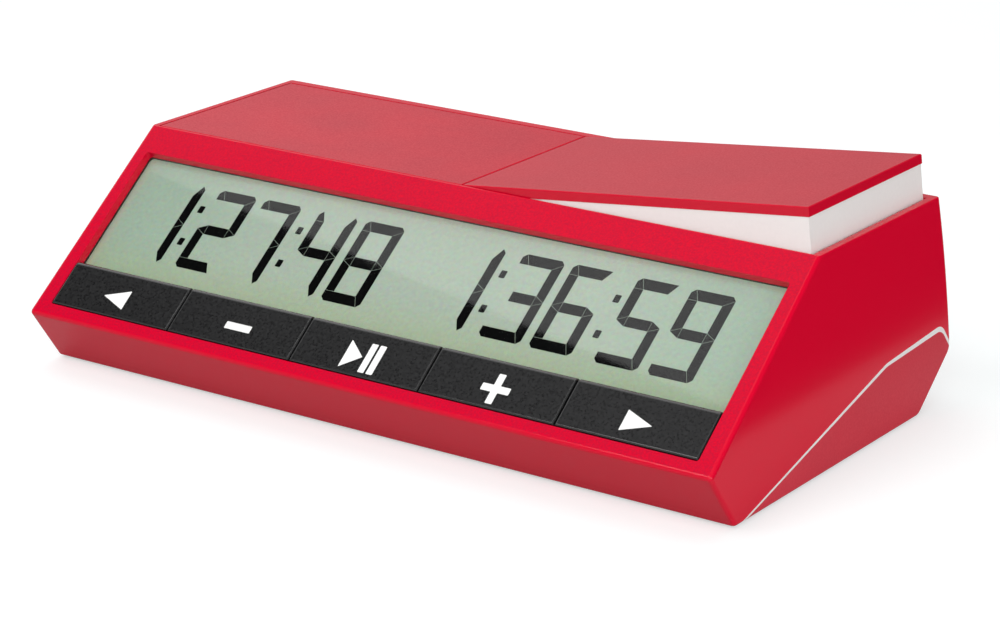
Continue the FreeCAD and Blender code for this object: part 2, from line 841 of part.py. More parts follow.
def make_rocker():
    """White beam with a level top under each cover, hollow from below, on a hub."""
    beam = new_body("rocker_body", ROCKER)
    line = beam_line()
    make_beam_block(beam, line)
    hollow_beam(beam, line)
    add_beam_ribs(beam, line)
    sketch = sketch_in(beam, "XZ_Plane")
    draw_circles(sketch, [("0", "0")], "axle_round + axle_gap")
    extrude(beam, "Pocket", sketch, "cover_deep + 2", side="Symmetric")
    for side, name in ((-1, "left"), (1, "right")):
        make_cover(side, name)
    make_rocker_fittings()


def make_rocker_fittings():
    """The axle, the magnets in the beam and the rubber bumpers on the well's floor."""
    axle = new_body("rocker_axle", AXLE)
    length = ("well_front_y - well_wall + sit", "well_rear_y + well_wall - weld")
    pin = pad_circles(axle, [("0", "0")], "axle_round - 0.01", *length)
    soften(axle, pin, "foot_edge", lambda edge: edge.Curve.TypeId == "Part::GeomCircle")
    magnets = new_body("lever_magnets", ROCKER)
    places = [("-magnet_x", "0"), ("magnet_x", "0")]
    pad_circles(magnets, places, "magnet_round", "skim", "magnet_thick - skim")
    bumpers = new_body("rocker_bumpers")
    for side in (-1, 1):
        for y in ("bumper_front_y", "bumper_rear_y"):
            outline = centred(f"{side} * bumper_x", y, "bumper_long", "bumper_long")
            pad_outline(bumpers, outline, "well_floor_z", "well_floor_z + bumper_thick")


def make_cover(side, name):
    """Red plate that a player presses, square-cut at the seam, with softened top edges."""
    level = Rotation(Vector(0, 1, 0), -side * number("rocker_turn"))
    lean = Placement(Vector(0, 0, number("seam_rise")), level)
    cover = new_body(f"rocker_cover_{name}", ROCKER * lean)
    near_x = f"{side} * seam_gap"
    far_x = f"{side} * cover_long"
    low_x, high_x = (far_x, near_x) if side < 0 else (near_x, far_x)
    corners = rectangle(low_x, high_x, "-cover_deep / 2", "cover_deep / 2")
    plate = pad_outline(cover, corners, "-cover_thick", "0")
    soften(cover, plate, "cover_round", lambda edge: near(edge.CenterOfMass.z, "0"))


# Display and keys -----------------------------------------------------------------------------

def down(low, high):
    """A stretch of the slope, as y limits of the slope's own frame."""
    return f"-({high})", f"-({low})"


def slope_rectangle(half, low, high):
    return rectangle(f"-{half}", half, *down(low, high))


def is_upright(edge):
    return runs_along(edge, Vector(0, 0, 1))


def is_top_corner(edge):
    return is_upright(edge) and edge.CenterOfMass.y > -20


LENS_FRONT = "(-wall - 2 * sit)"
PANEL_FRONT = f"({LENS_FRONT} - lens_thick - skim)"
PANEL_BACK = f"({PANEL_FRONT} - panel_thick - skim)"
EARS = ("ear_near", "ear_far")
EAR_HOLES = [(f"{side} * (window_half - ear_in)", f"-{ear}") for side in (-1, 1) for ear in EARS]


def make_pane(label, half, low, high, back, front):
    """A flat pane behind the window, with its two top corners rounded."""
    pane = new_body(label, SLOPE)
    pad = pad_outline(pane, slope_rectangle(half, low, high), back, front)
    soften(pane, pad, "lens_round", is_top_corner)
    return pane


def make_frame_ring(frame):
    """The frame's rim round the panel, thinner along its foot."""
    back = "-wall - sit - frame_deep"
    pad_outline(frame, slope_rectangle("frame_half", "frame_top", "frame_foot"), back, "-wall - sit")
    opening = slope_rectangle("(window_half - sit)", "window_top", "lens_foot + sit")
    rim = pocket_outline(frame, opening, back, "-wall - sit")
    soften(
        frame,
        rim,
        "lens_round",
        lambda edge: is_top_corner(edge) and abs(edge.CenterOfMass.x) < number("window_half"),
    )
    bar = rectangle("-frame_half", "frame_half", "-frame_foot - 1", "-lens_foot - 0.06")
    pocket_outline(frame, bar, "-wall - 1", "-wall + 1")
    pocket_outline(frame, bar, f"{back} - 1", "-wall - 2.2")


def add_frame_ears(frame):
    """Side walls down to the board, and the ears that its screws go into."""
    for side in (-1, 1):
        outer = f"{side} * frame_half"
        inner = f"{side} * (window_half - sit)"
        ear_end = f"{side} * (window_half - sit - ear_long)"
        across = (outer, inner) if side < 0 else (inner, outer)
        wall = rectangle(*across, *down("board_top + 1", "44"))
        pad_outline(frame, wall, "-board_deep + sit", "-wall - frame_deep + 1")
        across = (inner, ear_end) if side < 0 else (ear_end, inner)
        for ear in EARS:
            outline = rectangle(*across, f"-{ear} - ear_wide / 2", f"-{ear} + ear_wide / 2")
            pad_outline(frame, outline, "-board_deep + sit", "-wall - frame_deep - 0.1")
    pocket_circles(frame, EAR_HOLES, "0.9", "-board_deep - 1", "-wall - frame_deep - weld")


def make_display():
    """Clear lens, liquid-crystal panel and reflector, held by a black frame."""
    inset = "(window_half - 2 * sit)"
    lens_back = f"{LENS_FRONT} - lens_thick"
    make_pane("display_lens", inset, "window_top + sit", "lens_foot", lens_back, LENS_FRONT)
    panel_back = f"{PANEL_FRONT} - panel_thick"
    make_pane("lcd_panel", inset, "window_top + sit", "lens_foot", panel_back, PANEL_FRONT)
    sheet_half = "(window_half - 0.3)"
    sheet_back = f"{PANEL_BACK} - reflector_thick"
    make_pane("lcd_reflector", sheet_half, "window_top + 0.3", "lens_foot - 3", sheet_back, PANEL_BACK)
    frame = new_body("lcd_frame", SLOPE)
    make_frame_ring(frame)
    add_frame_ears(frame)
    strip = new_body("zebra_strip", SLOPE)
    outline = slope_rectangle("strip_half", "lens_foot - strip_wide - 0.4", "lens_foot - 0.4")
    pad_outline(strip, outline, "-board_deep + skim", PANEL_BACK)


KEY_MIDDLE = "-(key_top + key_foot) / 2 - 0.6"


def make_keys():
    """Five moulded keys side by side; each slides in along the slope's normal."""
    names = ("key_left", "key_minus", "key_play_pause", "key_plus", "key_right")
    for order, name in enumerate(names):
        make_key(name, SLOPE * spot(f"{order - 2} * key_pitch", "0", "0"))
    mat = new_body("key_mat", SLOPE)
    domes = [(f"{order} * key_pitch", KEY_MIDDLE) for order in range(-2, 3)]
    base = "(-board_deep + sit)"
    pad_outline(mat, slope_rectangle("103", "key_top + 1.8", "board_foot"), base, f"{base} + mat_thick")
    pad_circles(mat, domes, "dome_round", f"{base} + mat_thick - 0.1", f"{base} + mat_thick + dome_high")


def is_brow(edge):
    """The key's long top edge, next to the display."""
    middle = edge.CenterOfMass
    return runs_along(edge, Vector(1, 0, 0)) and near(middle.z, "key_proud") and near(middle.y, "-key_top")


def is_key_rim(edge):
    """The edges of the key's face, without the one where the brow's curve ends."""
    middle = edge.CenterOfMass
    return near(middle.z, "key_proud", 0.02) and not near(middle.y, "-key_top - key_bevel", 0.1)


def make_key(name, placement):
    key = new_body(name, placement)
    side_view = [
        ("-key_foot", "key_proud"),
        ("-key_foot", "-wall - 0.15"),
        ("-key_foot - key_ledge", "-wall - 0.15"),
        ("-key_foot - key_ledge", "-wall - 1.1"),
        ("-key_foot + 0.8", "-wall - 1.1"),
        ("-key_foot + 0.8", "-key_deep"),
        ("-key_top - 2.2", "-key_deep"),
        ("-key_top - 2.2", "-key_lip"),
        ("-key_top", "-key_lip"),
        ("-key_top", "key_proud"),
    ]
    sketch = sketch_in(key, "YZ_Plane")
    draw_outline(sketch, side_view)
    cap = extrude(key, "Pad", sketch, "key_pitch - key_gap", side="Symmetric")
    brow = soften(key, cap, "key_bevel", is_brow)
    soften(key, brow, "key_edge", is_key_rim)
    inner = "(key_pitch / 2 - key_gap / 2 - key_wall)"
    hollow = rectangle(f"-{inner}", inner, "-key_foot + 0.8 + key_wall", "-key_top - 2.2 - key_wall")
    pocket_outline(key, hollow, "-key_deep", "-2")
    pad_circles(key, [("0", KEY_MIDDLE)], "key_stem_round", "-key_deep", "-1.8")


# Electronics ----------------------------------------------------------------------------------

BOARD_BACK = "(-board_deep - board_thick)"


def make_electronics():
    make_main_board()
    make_board_parts()
    make_buzzer()
    make_sensor_board()
    make_power_board()
    make_power_button()


def make_main_board():
    """Board behind the display, and the screws that hold it to the frame's ears."""
    board = new_body("main_board", SLOPE)
    outline = slope_rectangle("board_half", "board_top", "board_foot")
    pad_outline(board, outline, BOARD_BACK, "-board_deep")
    pocket_circles(board, EAR_HOLES, "1.1", BOARD_BACK, "-board_deep")
    screws = new_body("board_screws", SLOPE)
    pad_circles(screws, EAR_HOLES, "small_head", f"{BOARD_BACK} - small_head_thick", BOARD_BACK)
    pad_circles(screws, EAR_HOLES, "0.85", BOARD_BACK, "-wall - 4.6")


def make_board_parts():
    """Parts soldered to the back of the main board."""
    chip = new_body("controller_chip", SLOPE)
    outline = centred("0", "chip_y", "chip_long", "chip_long")
    pad_outline(chip, outline, f"{BOARD_BACK} - chip_thick", BOARD_BACK)
    crystal = new_body("crystal", SLOPE)
    outline = centred("crystal_x", "crystal_y", "crystal_long", "crystal_wide")
    can = pad_outline(crystal, outline, f"{BOARD_BACK} - crystal_high", BOARD_BACK)
    soften(crystal, can, "crystal_round", is_upright)
    capacitors = new_body("capacitors", SLOPE)
    places = [
        ("capacitor_x", "capacitor_y"),
        ("capacitor_far_x", "capacitor_y"),
        ("capacitor_x", "capacitor_low_y"),
    ]
    pad_circles(capacitors, places, "capacitor_round", f"{BOARD_BACK} - capacitor_high", BOARD_BACK)
    socket = new_body("battery_socket", SLOPE)
    outline = centred("socket_x", "socket_y", "socket_long", "socket_wide")
    pad_outline(socket, outline, f"{BOARD_BACK} - socket_high", BOARD_BACK)


def make_buzzer():
    buzzer = new_body("buzzer", SLOPE)
    place = [("buzzer_x", "buzzer_y")]
    back = f"{BOARD_BACK} - buzzer_high"
    pad_circles(buzzer, place, "buzzer_round", back, BOARD_BACK)
    pocket_circles(buzzer, place, "buzzer_hole", back, f"{back} + buzzer_hole_deep")


def make_sensor_board():
    """Board under the well that feels the rocker's magnets."""
    back = "(sensor_z - board_thick)"
    board = new_body("sensor_board")
    pad_outline(board, centred("0", "rocker_y", "2 * sensor_half", "sensor_wide"), back, "sensor_z")
    pocket_circles(board, SENSOR_HOLES, "small_hole", back, "sensor_z")
    screws = new_body("sensor_screws")
    pad_circles(screws, SENSOR_HOLES, "small_head", f"{back} - small_head_thick", back)
    pad_circles(screws, SENSOR_HOLES, "small_shank", back, "sensor_pilot_z - 0.3")
    sensors = new_body("hall_sensors")
    for side in (-1, 1):
        outline = centred(f"{side} * magnet_x", "rocker_y", "hall_long", "hall_wide")
        pad_outline(sensors, outline, "sensor_z", "well_floor_z - well_wall - weld")


def make_power_board():
    """Small board over the power button, with its switch and screws."""
    place = spot("button_x", "button_y", "0")
    foot = "(power_z + sit)"
    top = "(power_z + sit + board_thick)"
    holes = [("-power_hole_x", "0"), ("power_hole_x", "0")]
    board = new_body("power_board", place)
    pad_outline(board, centred("0", "0", "power_long", "power_wide"), foot, top)
    pocket_circles(board, holes, "small_hole", foot, top)
    switch = new_body("power_switch", place)
    pad_outline(switch, centred("0", "0", "switch_wide", "switch_wide"), "switch_foot_z", foot)
    pocket_circles(switch, [("0", "0")], "switch_hole", "switch_foot_z", "switch_stem_z")
    screws = new_body("power_screws", place)
    pad_circles(screws, holes, "small_head", top, f"{top} + small_head_thick")
    pad_circles(screws, holes, "small_shank", "power_pilot_z + 1", f"{top} + sit")


def make_power_button():
    """Flanged cap, sunk a little into the underside, with a stem up to the switch."""
    button = new_body("power_button", spot("button_x", "button_y", "0"))
    face = "(base_z + button_sunk)"
    middle = [("0", "0")]
    cap = pad_circles(button, middle, "button_round", face, f"{FLOOR_TOP} + 0.3")
    soften(button, cap, "0.4", lambda edge: near(edge.CenterOfMass.z, face))
    pad_circles(button, middle, "button_round + button_flange", f"{FLOOR_TOP} + 0.15", f"{FLOOR_TOP} + 1.1")
    pad_circles(button, middle, "button_stem", f"{FLOOR_TOP} + 0.5", "button_stem_z")


CELL_MIDDLE = f"({FLOOR_TOP} + cell_round)"


def make_cell(name, order):
    """One battery, its nub towards the side that order points to."""
    middle = Vector(0, number(f"bay_y + {order} * cell_pitch / 2"), number(CELL_MIDDLE))
    cell = new_body(name, Placement(middle, Rotation(Vector(0, 1, 0), -90 * order)))
    axis = [("0", "0")]
    shoulder = "cell_long / 2 - nub_long"
    pad_circles(cell, axis, "cell_round", "-cell_long / 2", shoulder)
    pad_circles(cell, axis, "nub_round", f"{shoulder} - 0.1", "cell_long / 2")


def leaf_outline(side):
    """Bent leaf contact from above, pressing on a cell's flat end."""
    base = f"{side} * (bay_half - plate_thick)"
    crest = f"{side} * (cell_long / 2 + leaf_thick)"
    back = f"{side} * (cell_long / 2 + 2 * leaf_thick)"
    return [
        (base, f"{CELL_MIDDLE} - leaf_high"),
        (crest, f"{CELL_MIDDLE} - leaf_crest"),
        (crest, f"{CELL_MIDDLE} + leaf_crest"),
        (base, f"{CELL_MIDDLE} + leaf_high"),
        (base, f"{CELL_MIDDLE} + leaf_high - 0.6"),
        (back, f"{CELL_MIDDLE} + leaf_crest - 0.2"),
        (back, f"{CELL_MIDDLE} - leaf_crest + 0.2"),
        (base, f"{CELL_MIDDLE} - leaf_high + 0.6"),
    ]


def make_batteries():
    """Two cells side by side, a contact plate across each end, and a leaf for each flat end."""
    make_cell("battery_1", -1)
    make_cell("battery_2", 1)
    plates = new_body("battery_plates")
    height = (f"{CELL_MIDDLE} - plate_high", f"{CELL_MIDDLE} + plate_high")
    for side in (-1, 1):
        middle_x = f"{side} * (bay_half - plate_thick / 2)"
        pad_outline(plates, centred(middle_x, "bay_y", "plate_thick", "2 * plate_half"), *height)
    leaves = new_body("battery_springs")
    for side in (-1, 1):
        sketch = sketch_in(leaves, "XZ_Plane", f"-bay_y - {side} * cell_pitch / 2")
        draw_outline(sketch, leaf_outline(side))
        extrude(leaves, "Pad", sketch, "leaf_wide", side="Symmetric")


# Leads ----------------------------------------------------------------------------------------

LEAD_ROUND = 0.6
RIBBON_ROUND = 0.8
# Share of a straight run that the bend at its end takes up.
BEND_SHARE = 0.45
# Each lead goes from the part it starts on, over the bay or along the floor, to the main board.
BATTERY_LEADS = [
    [(-32.1, 12, 13), (-44, 12, 13), (-54.7, -4, 11), (-54.7, -24.2, 11.6), (-54.7, -31.6, 20.8)],
    [(-32.1, 14.6, 13), (-45.2, 14.6, 13), (-57.3, -4, 11), (-57.3, -24.2, 11.6), (-57.3, -31.6, 20.8)],
]
SENSOR_LEAD = [
    (-30, 17, 37.3),
    (-30, 17, 28),
    (-30, 4, 23),
    (-30, -10, 20),
    (-30, -18, 24.5),
    (-30, -24.6, 32.7),
]
POWER_LEAD = [
    (61, 8, 11.1),
    (61, 8, 19.5),
    (61, -6, 20.5),
    (61, -22, 12),
    (61, -37, 9.8),
    (61, -43.3, 17.6),
]


def hold_shapes(label, shapes):
    """Keep shapes that no feature makes, such as bent leads, as one sub-part."""
    holder = doc.addObject("Part::Feature", label)
    holder.Shape = Part.makeCompound(shapes)
    piece(holder, label)


def bend(before, corner, after):
    """Start, middle and end of the arc that rounds a corner between two runs."""
    share = min((before - corner).Length, (after - corner).Length) * BEND_SHARE
    back = (before - corner).normalize() * share
    ahead = (after - corner).normalize() * share
    bisector = (back + ahead).normalize()
    half_turn = back.getAngle(ahead) / 2
    radius = share * math.tan(half_turn)
    centre = corner + bisector * (share / math.cos(half_turn))
    return corner + back, centre - bisector * radius, corner + ahead


def wire(places, radius):
    """Round lead along straight runs joined by tangent arcs."""
    points = [Vector(*place) for place in places]
    path = []
    start = points[0]
    for before, corner, after in zip(points, points[1:], points[2:]):
        leave, crown, arrive = bend(before, corner, after)
        path.append(Part.LineSegment(start, leave).toShape())
        path.append(Part.Arc(leave, crown, arrive).toShape())
        start = arrive
    path.append(Part.LineSegment(start, points[-1]).toShape())
    first = (points[1] - points[0]).normalize()
    ring = Part.Wire(Part.Circle(points[0], first, radius).toShape())
    return Part.Wire(path).makePipeShell([ring], True, True)


def make_leads():
    """Thin leads from the battery bay, the sensor board and the power switch to the main board."""
    hold_shapes("battery_leads", [wire(places, LEAD_ROUND) for places in BATTERY_LEADS])
    hold_shapes("sensor_lead", [wire(SENSOR_LEAD, RIBBON_ROUND)])
    hold_shapes("power_lead", [wire(POWER_LEAD, LEAD_ROUND)])


def finish():
    doc.recompute()
    for item in doc.Objects:
        if "Invalid" in item.State or "Error" in item.State:
            raise RuntimeError(f"{item.Label} did not recompute: {item.State}")
    os.makedirs("parts", exist_ok=True)
    for item in PIECES:
        shape = item.Shape
        if shape.isNull() or not shape.isValid():
            raise RuntimeError(f"{item.Label} has no valid shape")
        shape.exportStep(os.path.join("parts", item.Label + ".step"))
        box = shape.BoundBox
        print(f"{item.Label:22s} {len(shape.Solids):2d} {shape.Volume:10.1f}"
              f"  x {box.XMin:7.2f} {box.XMax:7.2f}  y {box.YMin:7.2f} {box.YMax:7.2f}"
              f"  z {box.ZMin:7.2f} {box.ZMax:7.2f}")


make_case()
make_feet()
make_case_screws()
make_rocker()
make_display()
make_keys()
make_electronics()
make_batteries()
make_leads()
finish()
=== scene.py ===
"""Digital chess clock: a red case with a sloping display, five keys and a rocker across its top."""

import json
import math

import bmesh
import bpy
from mathutils import Matrix, Vector


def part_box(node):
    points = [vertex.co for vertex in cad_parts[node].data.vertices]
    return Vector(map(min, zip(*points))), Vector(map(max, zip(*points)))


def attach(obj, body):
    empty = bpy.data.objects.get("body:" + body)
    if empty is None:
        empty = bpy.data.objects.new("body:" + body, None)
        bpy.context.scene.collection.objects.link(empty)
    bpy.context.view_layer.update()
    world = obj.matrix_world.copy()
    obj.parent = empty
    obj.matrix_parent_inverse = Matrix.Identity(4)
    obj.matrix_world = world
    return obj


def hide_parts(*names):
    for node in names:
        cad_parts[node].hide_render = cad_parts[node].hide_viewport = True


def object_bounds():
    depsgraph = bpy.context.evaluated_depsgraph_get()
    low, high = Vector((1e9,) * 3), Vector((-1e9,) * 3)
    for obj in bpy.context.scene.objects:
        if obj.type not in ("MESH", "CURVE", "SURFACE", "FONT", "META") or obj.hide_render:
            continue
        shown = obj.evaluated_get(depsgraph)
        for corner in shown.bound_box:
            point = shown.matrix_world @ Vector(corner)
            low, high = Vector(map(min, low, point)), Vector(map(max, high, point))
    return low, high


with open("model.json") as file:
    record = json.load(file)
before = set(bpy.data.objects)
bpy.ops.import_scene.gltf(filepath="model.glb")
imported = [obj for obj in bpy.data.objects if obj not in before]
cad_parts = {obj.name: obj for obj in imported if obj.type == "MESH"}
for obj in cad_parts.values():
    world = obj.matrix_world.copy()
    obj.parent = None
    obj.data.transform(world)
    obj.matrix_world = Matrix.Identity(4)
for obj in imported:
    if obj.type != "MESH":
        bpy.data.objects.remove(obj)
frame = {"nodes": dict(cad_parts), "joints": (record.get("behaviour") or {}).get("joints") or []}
cad_low, cad_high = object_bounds()

MM = 0.001


# ---------------------------------------------------------------------------------------------
# Case shells and battery cover: three red ABS mouldings, screwed together from below.
# The tool of the sloping front is spark-eroded, so that face carries a fine even grain.
# The upper shell's other faces are polished, and the lower shell is satin.
# ---------------------------------------------------------------------------------------------
def linear(colour):
    """An sRGB hex colour as the linear colour that shaders take."""
    parts = [int(colour[i : i + 2], 16) / 255 for i in (1, 3, 5)]
    return tuple(c / 12.92 if c <= 0.04045 else ((c + 0.055) / 1.055) ** 2.4 for c in parts) + (1.0,)


def add(tree, kind, values=(), feeds=(), **settings):
    """Adds a node. settings are its properties, values its plain inputs, feeds its linked ones."""
    node = tree.nodes.new(kind)
    for name, value in settings.items():
        setattr(node, name, value)
    for name, value in dict(values).items():
        node.inputs[name].default_value = value
    for name, socket in dict(feeds).items():
        tree.links.new(socket, node.inputs[name])
    return node


def new_finish(name):
    """An empty material, its node tree and a socket with the piece's own place in metres."""
    material = bpy.data.materials.new(name)
    material.use_nodes = True
    tree = material.node_tree
    tree.nodes.clear()
    return material, tree, add(tree, "ShaderNodeTexCoord").outputs["Object"]


# Cosines: a face 10 degrees off an axis doesn't look along it yet, and one 2.5 degrees off does.
FACING_FROM, FACING_FULL = 0.985, 0.999


def turned_to(tree, axis):
    """1 on the faces that look along axis in the piece's own frame, 0 on the others."""
    outwards = add(tree, "ShaderNodeTexCoord").outputs["Normal"]
    match = add(tree, "ShaderNodeVectorMath", {1: axis}, {0: outwards}, operation="DOT_PRODUCT")
    edge = add(
        tree,
        "ShaderNodeMapRange",
        {"From Min": FACING_FROM, "From Max": FACING_FULL, "To Min": 0.0, "To Max": 1.0},
        {"Value": match.outputs["Value"]},
    )
    return edge.outputs["Result"]


# Between these values the noise goes from one colour, or gloss, to the other.
NOISE_LOW, NOISE_HIGH = 0.35, 0.65


def moulded(
    name, colour, shade, grain, depth, rough, specular=0.5, cloud=0.03, speck=0.5, etched=None, polish=()
):
    """A moulded plastic or rubber. grain and cloud are sizes in metres, depth the grain's height.
    rough is (smoothest, roughest). colour drifts to shade over each cloud and, by speck, each grain.
    With etched, only faces that look along that axis have the grain, and polish gives the rest its
    (rough, specular)."""
    material, tree, place = new_finish(name)
    pits = add(
        tree, "ShaderNodeTexNoise", {"Scale": 1 / grain, "Detail": 2.0, "Roughness": 0.55}, {"Vector": place}
    )
    drift = add(
        tree, "ShaderNodeTexNoise", {"Scale": 1 / cloud, "Detail": 3.0, "Roughness": 0.5}, {"Vector": place}
    )
    both = add(
        tree,
        "ShaderNodeMix",
        {"Factor": speck},
        {"A": drift.outputs["Fac"], "B": pits.outputs["Fac"]},
    )
    spread = add(
        tree,
        "ShaderNodeMapRange",
        {"From Min": NOISE_LOW, "From Max": NOISE_HIGH, "To Min": 0.0, "To Max": 1.0},
        {"Value": both.outputs["Result"]},
    )
    tint = add(tree, "ShaderNodeMix", {}, {"Factor": spread.outputs["Result"]}, data_type="RGBA")
    tint.inputs["A"].default_value = linear(colour)
    tint.inputs["B"].default_value = linear(shade)
    gloss = add(
        tree,
        "ShaderNodeMapRange",
        {"From Min": NOISE_LOW, "From Max": NOISE_HIGH, "To Min": rough[0], "To Max": rough[1]},
        {"Value": pits.outputs["Fac"]},
    )
    relief = add(
        tree, "ShaderNodeBump", {"Strength": 1.0, "Distance": depth}, {"Height": pits.outputs["Fac"]}
    )
    skin = add(
        tree,
        "ShaderNodeBsdfPrincipled",
        {"IOR": 1.5, "Specular IOR Level": specular},
        {
            "Base Color": tint.outputs["Result"],
            "Roughness": gloss.outputs["Result"],
            "Normal": relief.outputs["Normal"],
        },
    )
    if etched:
        mask = turned_to(tree, etched)
        smooth_rough, smooth_specular = polish
        flecks = add(
            tree, "ShaderNodeMath", {}, {0: spread.outputs["Result"], 1: mask}, operation="MULTIPLY"
        )
        sheen = add(
            tree, "ShaderNodeMix", {"A": smooth_rough}, {"Factor": mask, "B": gloss.outputs["Result"]}
        )
        shine = add(tree, "ShaderNodeMix", {"A": smooth_specular, "B": specular}, {"Factor": mask})
        tree.links.new(flecks.outputs[0], tint.inputs["Factor"])
        tree.links.new(mask, relief.inputs["Strength"])
        tree.links.new(sheen.outputs["Result"], skin.inputs["Roughness"])
        tree.links.new(shine.outputs["Result"], skin.inputs["Specular IOR Level"])
    add(tree, "ShaderNodeOutputMaterial", (), {"Surface": skin.outputs["BSDF"]})
    return material


def coat_with(material, *nodes):
    """Gives CAD nodes that material, and leaves their meshes as they are."""
    for name in nodes:
        for place in frame["nodes"][name].material_slots:
            place.material = material


# The slope's own directions, from the way its keys are pressed into it.
play_press = next(j for j in frame["joints"] if j["name"] == "play_pause_key_press")
OUTWARD = -Vector(play_press["axis"]).normalized()
UP_SLOPE = Vector((0.0, OUTWARD.z, -OUTWARD.y))
SLOPE = math.asin(UP_SLOPE.z)

# The real grain is about 0.3 mm. It is drawn at 0.6 mm, so that its sparkle still shows at this size.
# The sides, the back and the rounded edges are polished, and mirror faintly what is round them.
abs_red = moulded(
    "abs_red_spark_grain",
    "#d6022b",
    "#bf0a30",
    0.6 * MM,
    0.03 * MM,
    (0.16, 0.26),
    specular=0.12,
    speck=0.9,
    etched=tuple(OUTWARD),
    polish=(0.16, 0.28),
)
coat_with(abs_red, "upper_shell")
# The lower shell is satin all over, so it spreads the white of the table into a paler red.
abs_red_lower = moulded(
    "abs_red_satin_lower", "#d6062f", "#cd052c", 0.5 * MM, 0.02 * MM, (0.4, 0.5), specular=0.9
)
coat_with(abs_red_lower, "lower_shell", "battery_cover")

# ---------------------------------------------------------------------------------------------
# Trim band: a white ABS strip trapped in the joint between the shells, on both sides and the back.
# It is polished, so it stays a clean bright line.
# ---------------------------------------------------------------------------------------------
abs_white = moulded(
    "abs_white_polished", "#efe9e7", "#ece6e4", 1.2 * MM, 0.001 * MM, (0.28, 0.33), specular=0.4, cloud=0.05
)
coat_with(abs_white, "trim_band")

# ---------------------------------------------------------------------------------------------
# Feet: four die-cut pads of black foam rubber, glued into shallow pockets under the case.
# ---------------------------------------------------------------------------------------------
foot_rubber = moulded(
    "rubber_black_foamed", "#1d1d1e", "#2a2a2b", 0.6 * MM, 0.08 * MM, (0.75, 0.95), specular=0.3
)
coat_with(foot_rubber, "foot_front_left", "foot_rear_left", "foot_front_right", "foot_rear_right")


# ---------------------------------------------------------------------------------------------
# Screws: pan-head steel screws with a cross recess and a coarse thread, zinc-plated.
# Six close the case from below, and others hold the boards to their bosses.
# ---------------------------------------------------------------------------------------------
def rolled_steel(name, colour, shade, grain, rough, stretch=(1.0, 1.0, 1.0)):
    """A plated or brushed metal. stretch draws its scratches out along an axis."""
    material, tree, place = new_finish(name)
    along = add(tree, "ShaderNodeMapping", {"Scale": stretch}, {"Vector": place})
    scratch = add(
        tree,
        "ShaderNodeTexNoise",
        {"Scale": 1 / grain, "Detail": 3.0, "Roughness": 0.6},
        {"Vector": along.outputs["Vector"]},
    )
    tint = add(tree, "ShaderNodeMix", {}, {"Factor": scratch.outputs["Fac"]}, data_type="RGBA")
    tint.inputs["A"].default_value = linear(colour)
    tint.inputs["B"].default_value = linear(shade)
    gloss = add(
        tree,
        "ShaderNodeMapRange",
        {"From Min": 0.3, "From Max": 0.7, "To Min": rough[0], "To Max": rough[1]},
        {"Value": scratch.outputs["Fac"]},
    )
    relief = add(
        tree, "ShaderNodeBump", {"Strength": 0.6, "Distance": 0.01 * MM}, {"Height": scratch.outputs["Fac"]}
    )
    skin = add(
        tree,
        "ShaderNodeBsdfPrincipled",
        {"Metallic": 1.0},
        {
            "Base Color": tint.outputs["Result"],
            "Roughness": gloss.outputs["Result"],
            "Normal": relief.outputs["Normal"],
        },
    )
    add(tree, "ShaderNodeOutputMaterial", (), {"Surface": skin.outputs["BSDF"]})
    return material


zinc_steel = rolled_steel("steel_zinc_plated", "#c9cbcd", "#a7abaf", 1.5 * MM, (0.25, 0.45))

SCREW_INPUTS = ("Head radius", "Head height", "Shank radius", "Shank length", "Thread pitch")
# Shares of the head's height: its straight rim and the dome above it. TOP_SHARE is of its radius.
RIM_SHARE, DOME_SHARE, TOP_SHARE = 0.55, 0.45, 0.72
# The cross recess: its arms' length and width as shares of the head's radius, its depth of the height.
ARM_LONG, ARM_WIDE, ARM_DEEP = 1.15, 0.26, 1.2
# Shares of the shank: where its middle lies, where the thread starts and how far that runs.
SHANK_MIDDLE, THREAD_START, THREAD_RUN = 0.49, 0.1, 0.86
# The thread's radius as a share of its pitch.
RIDGE_SHARE = 0.28


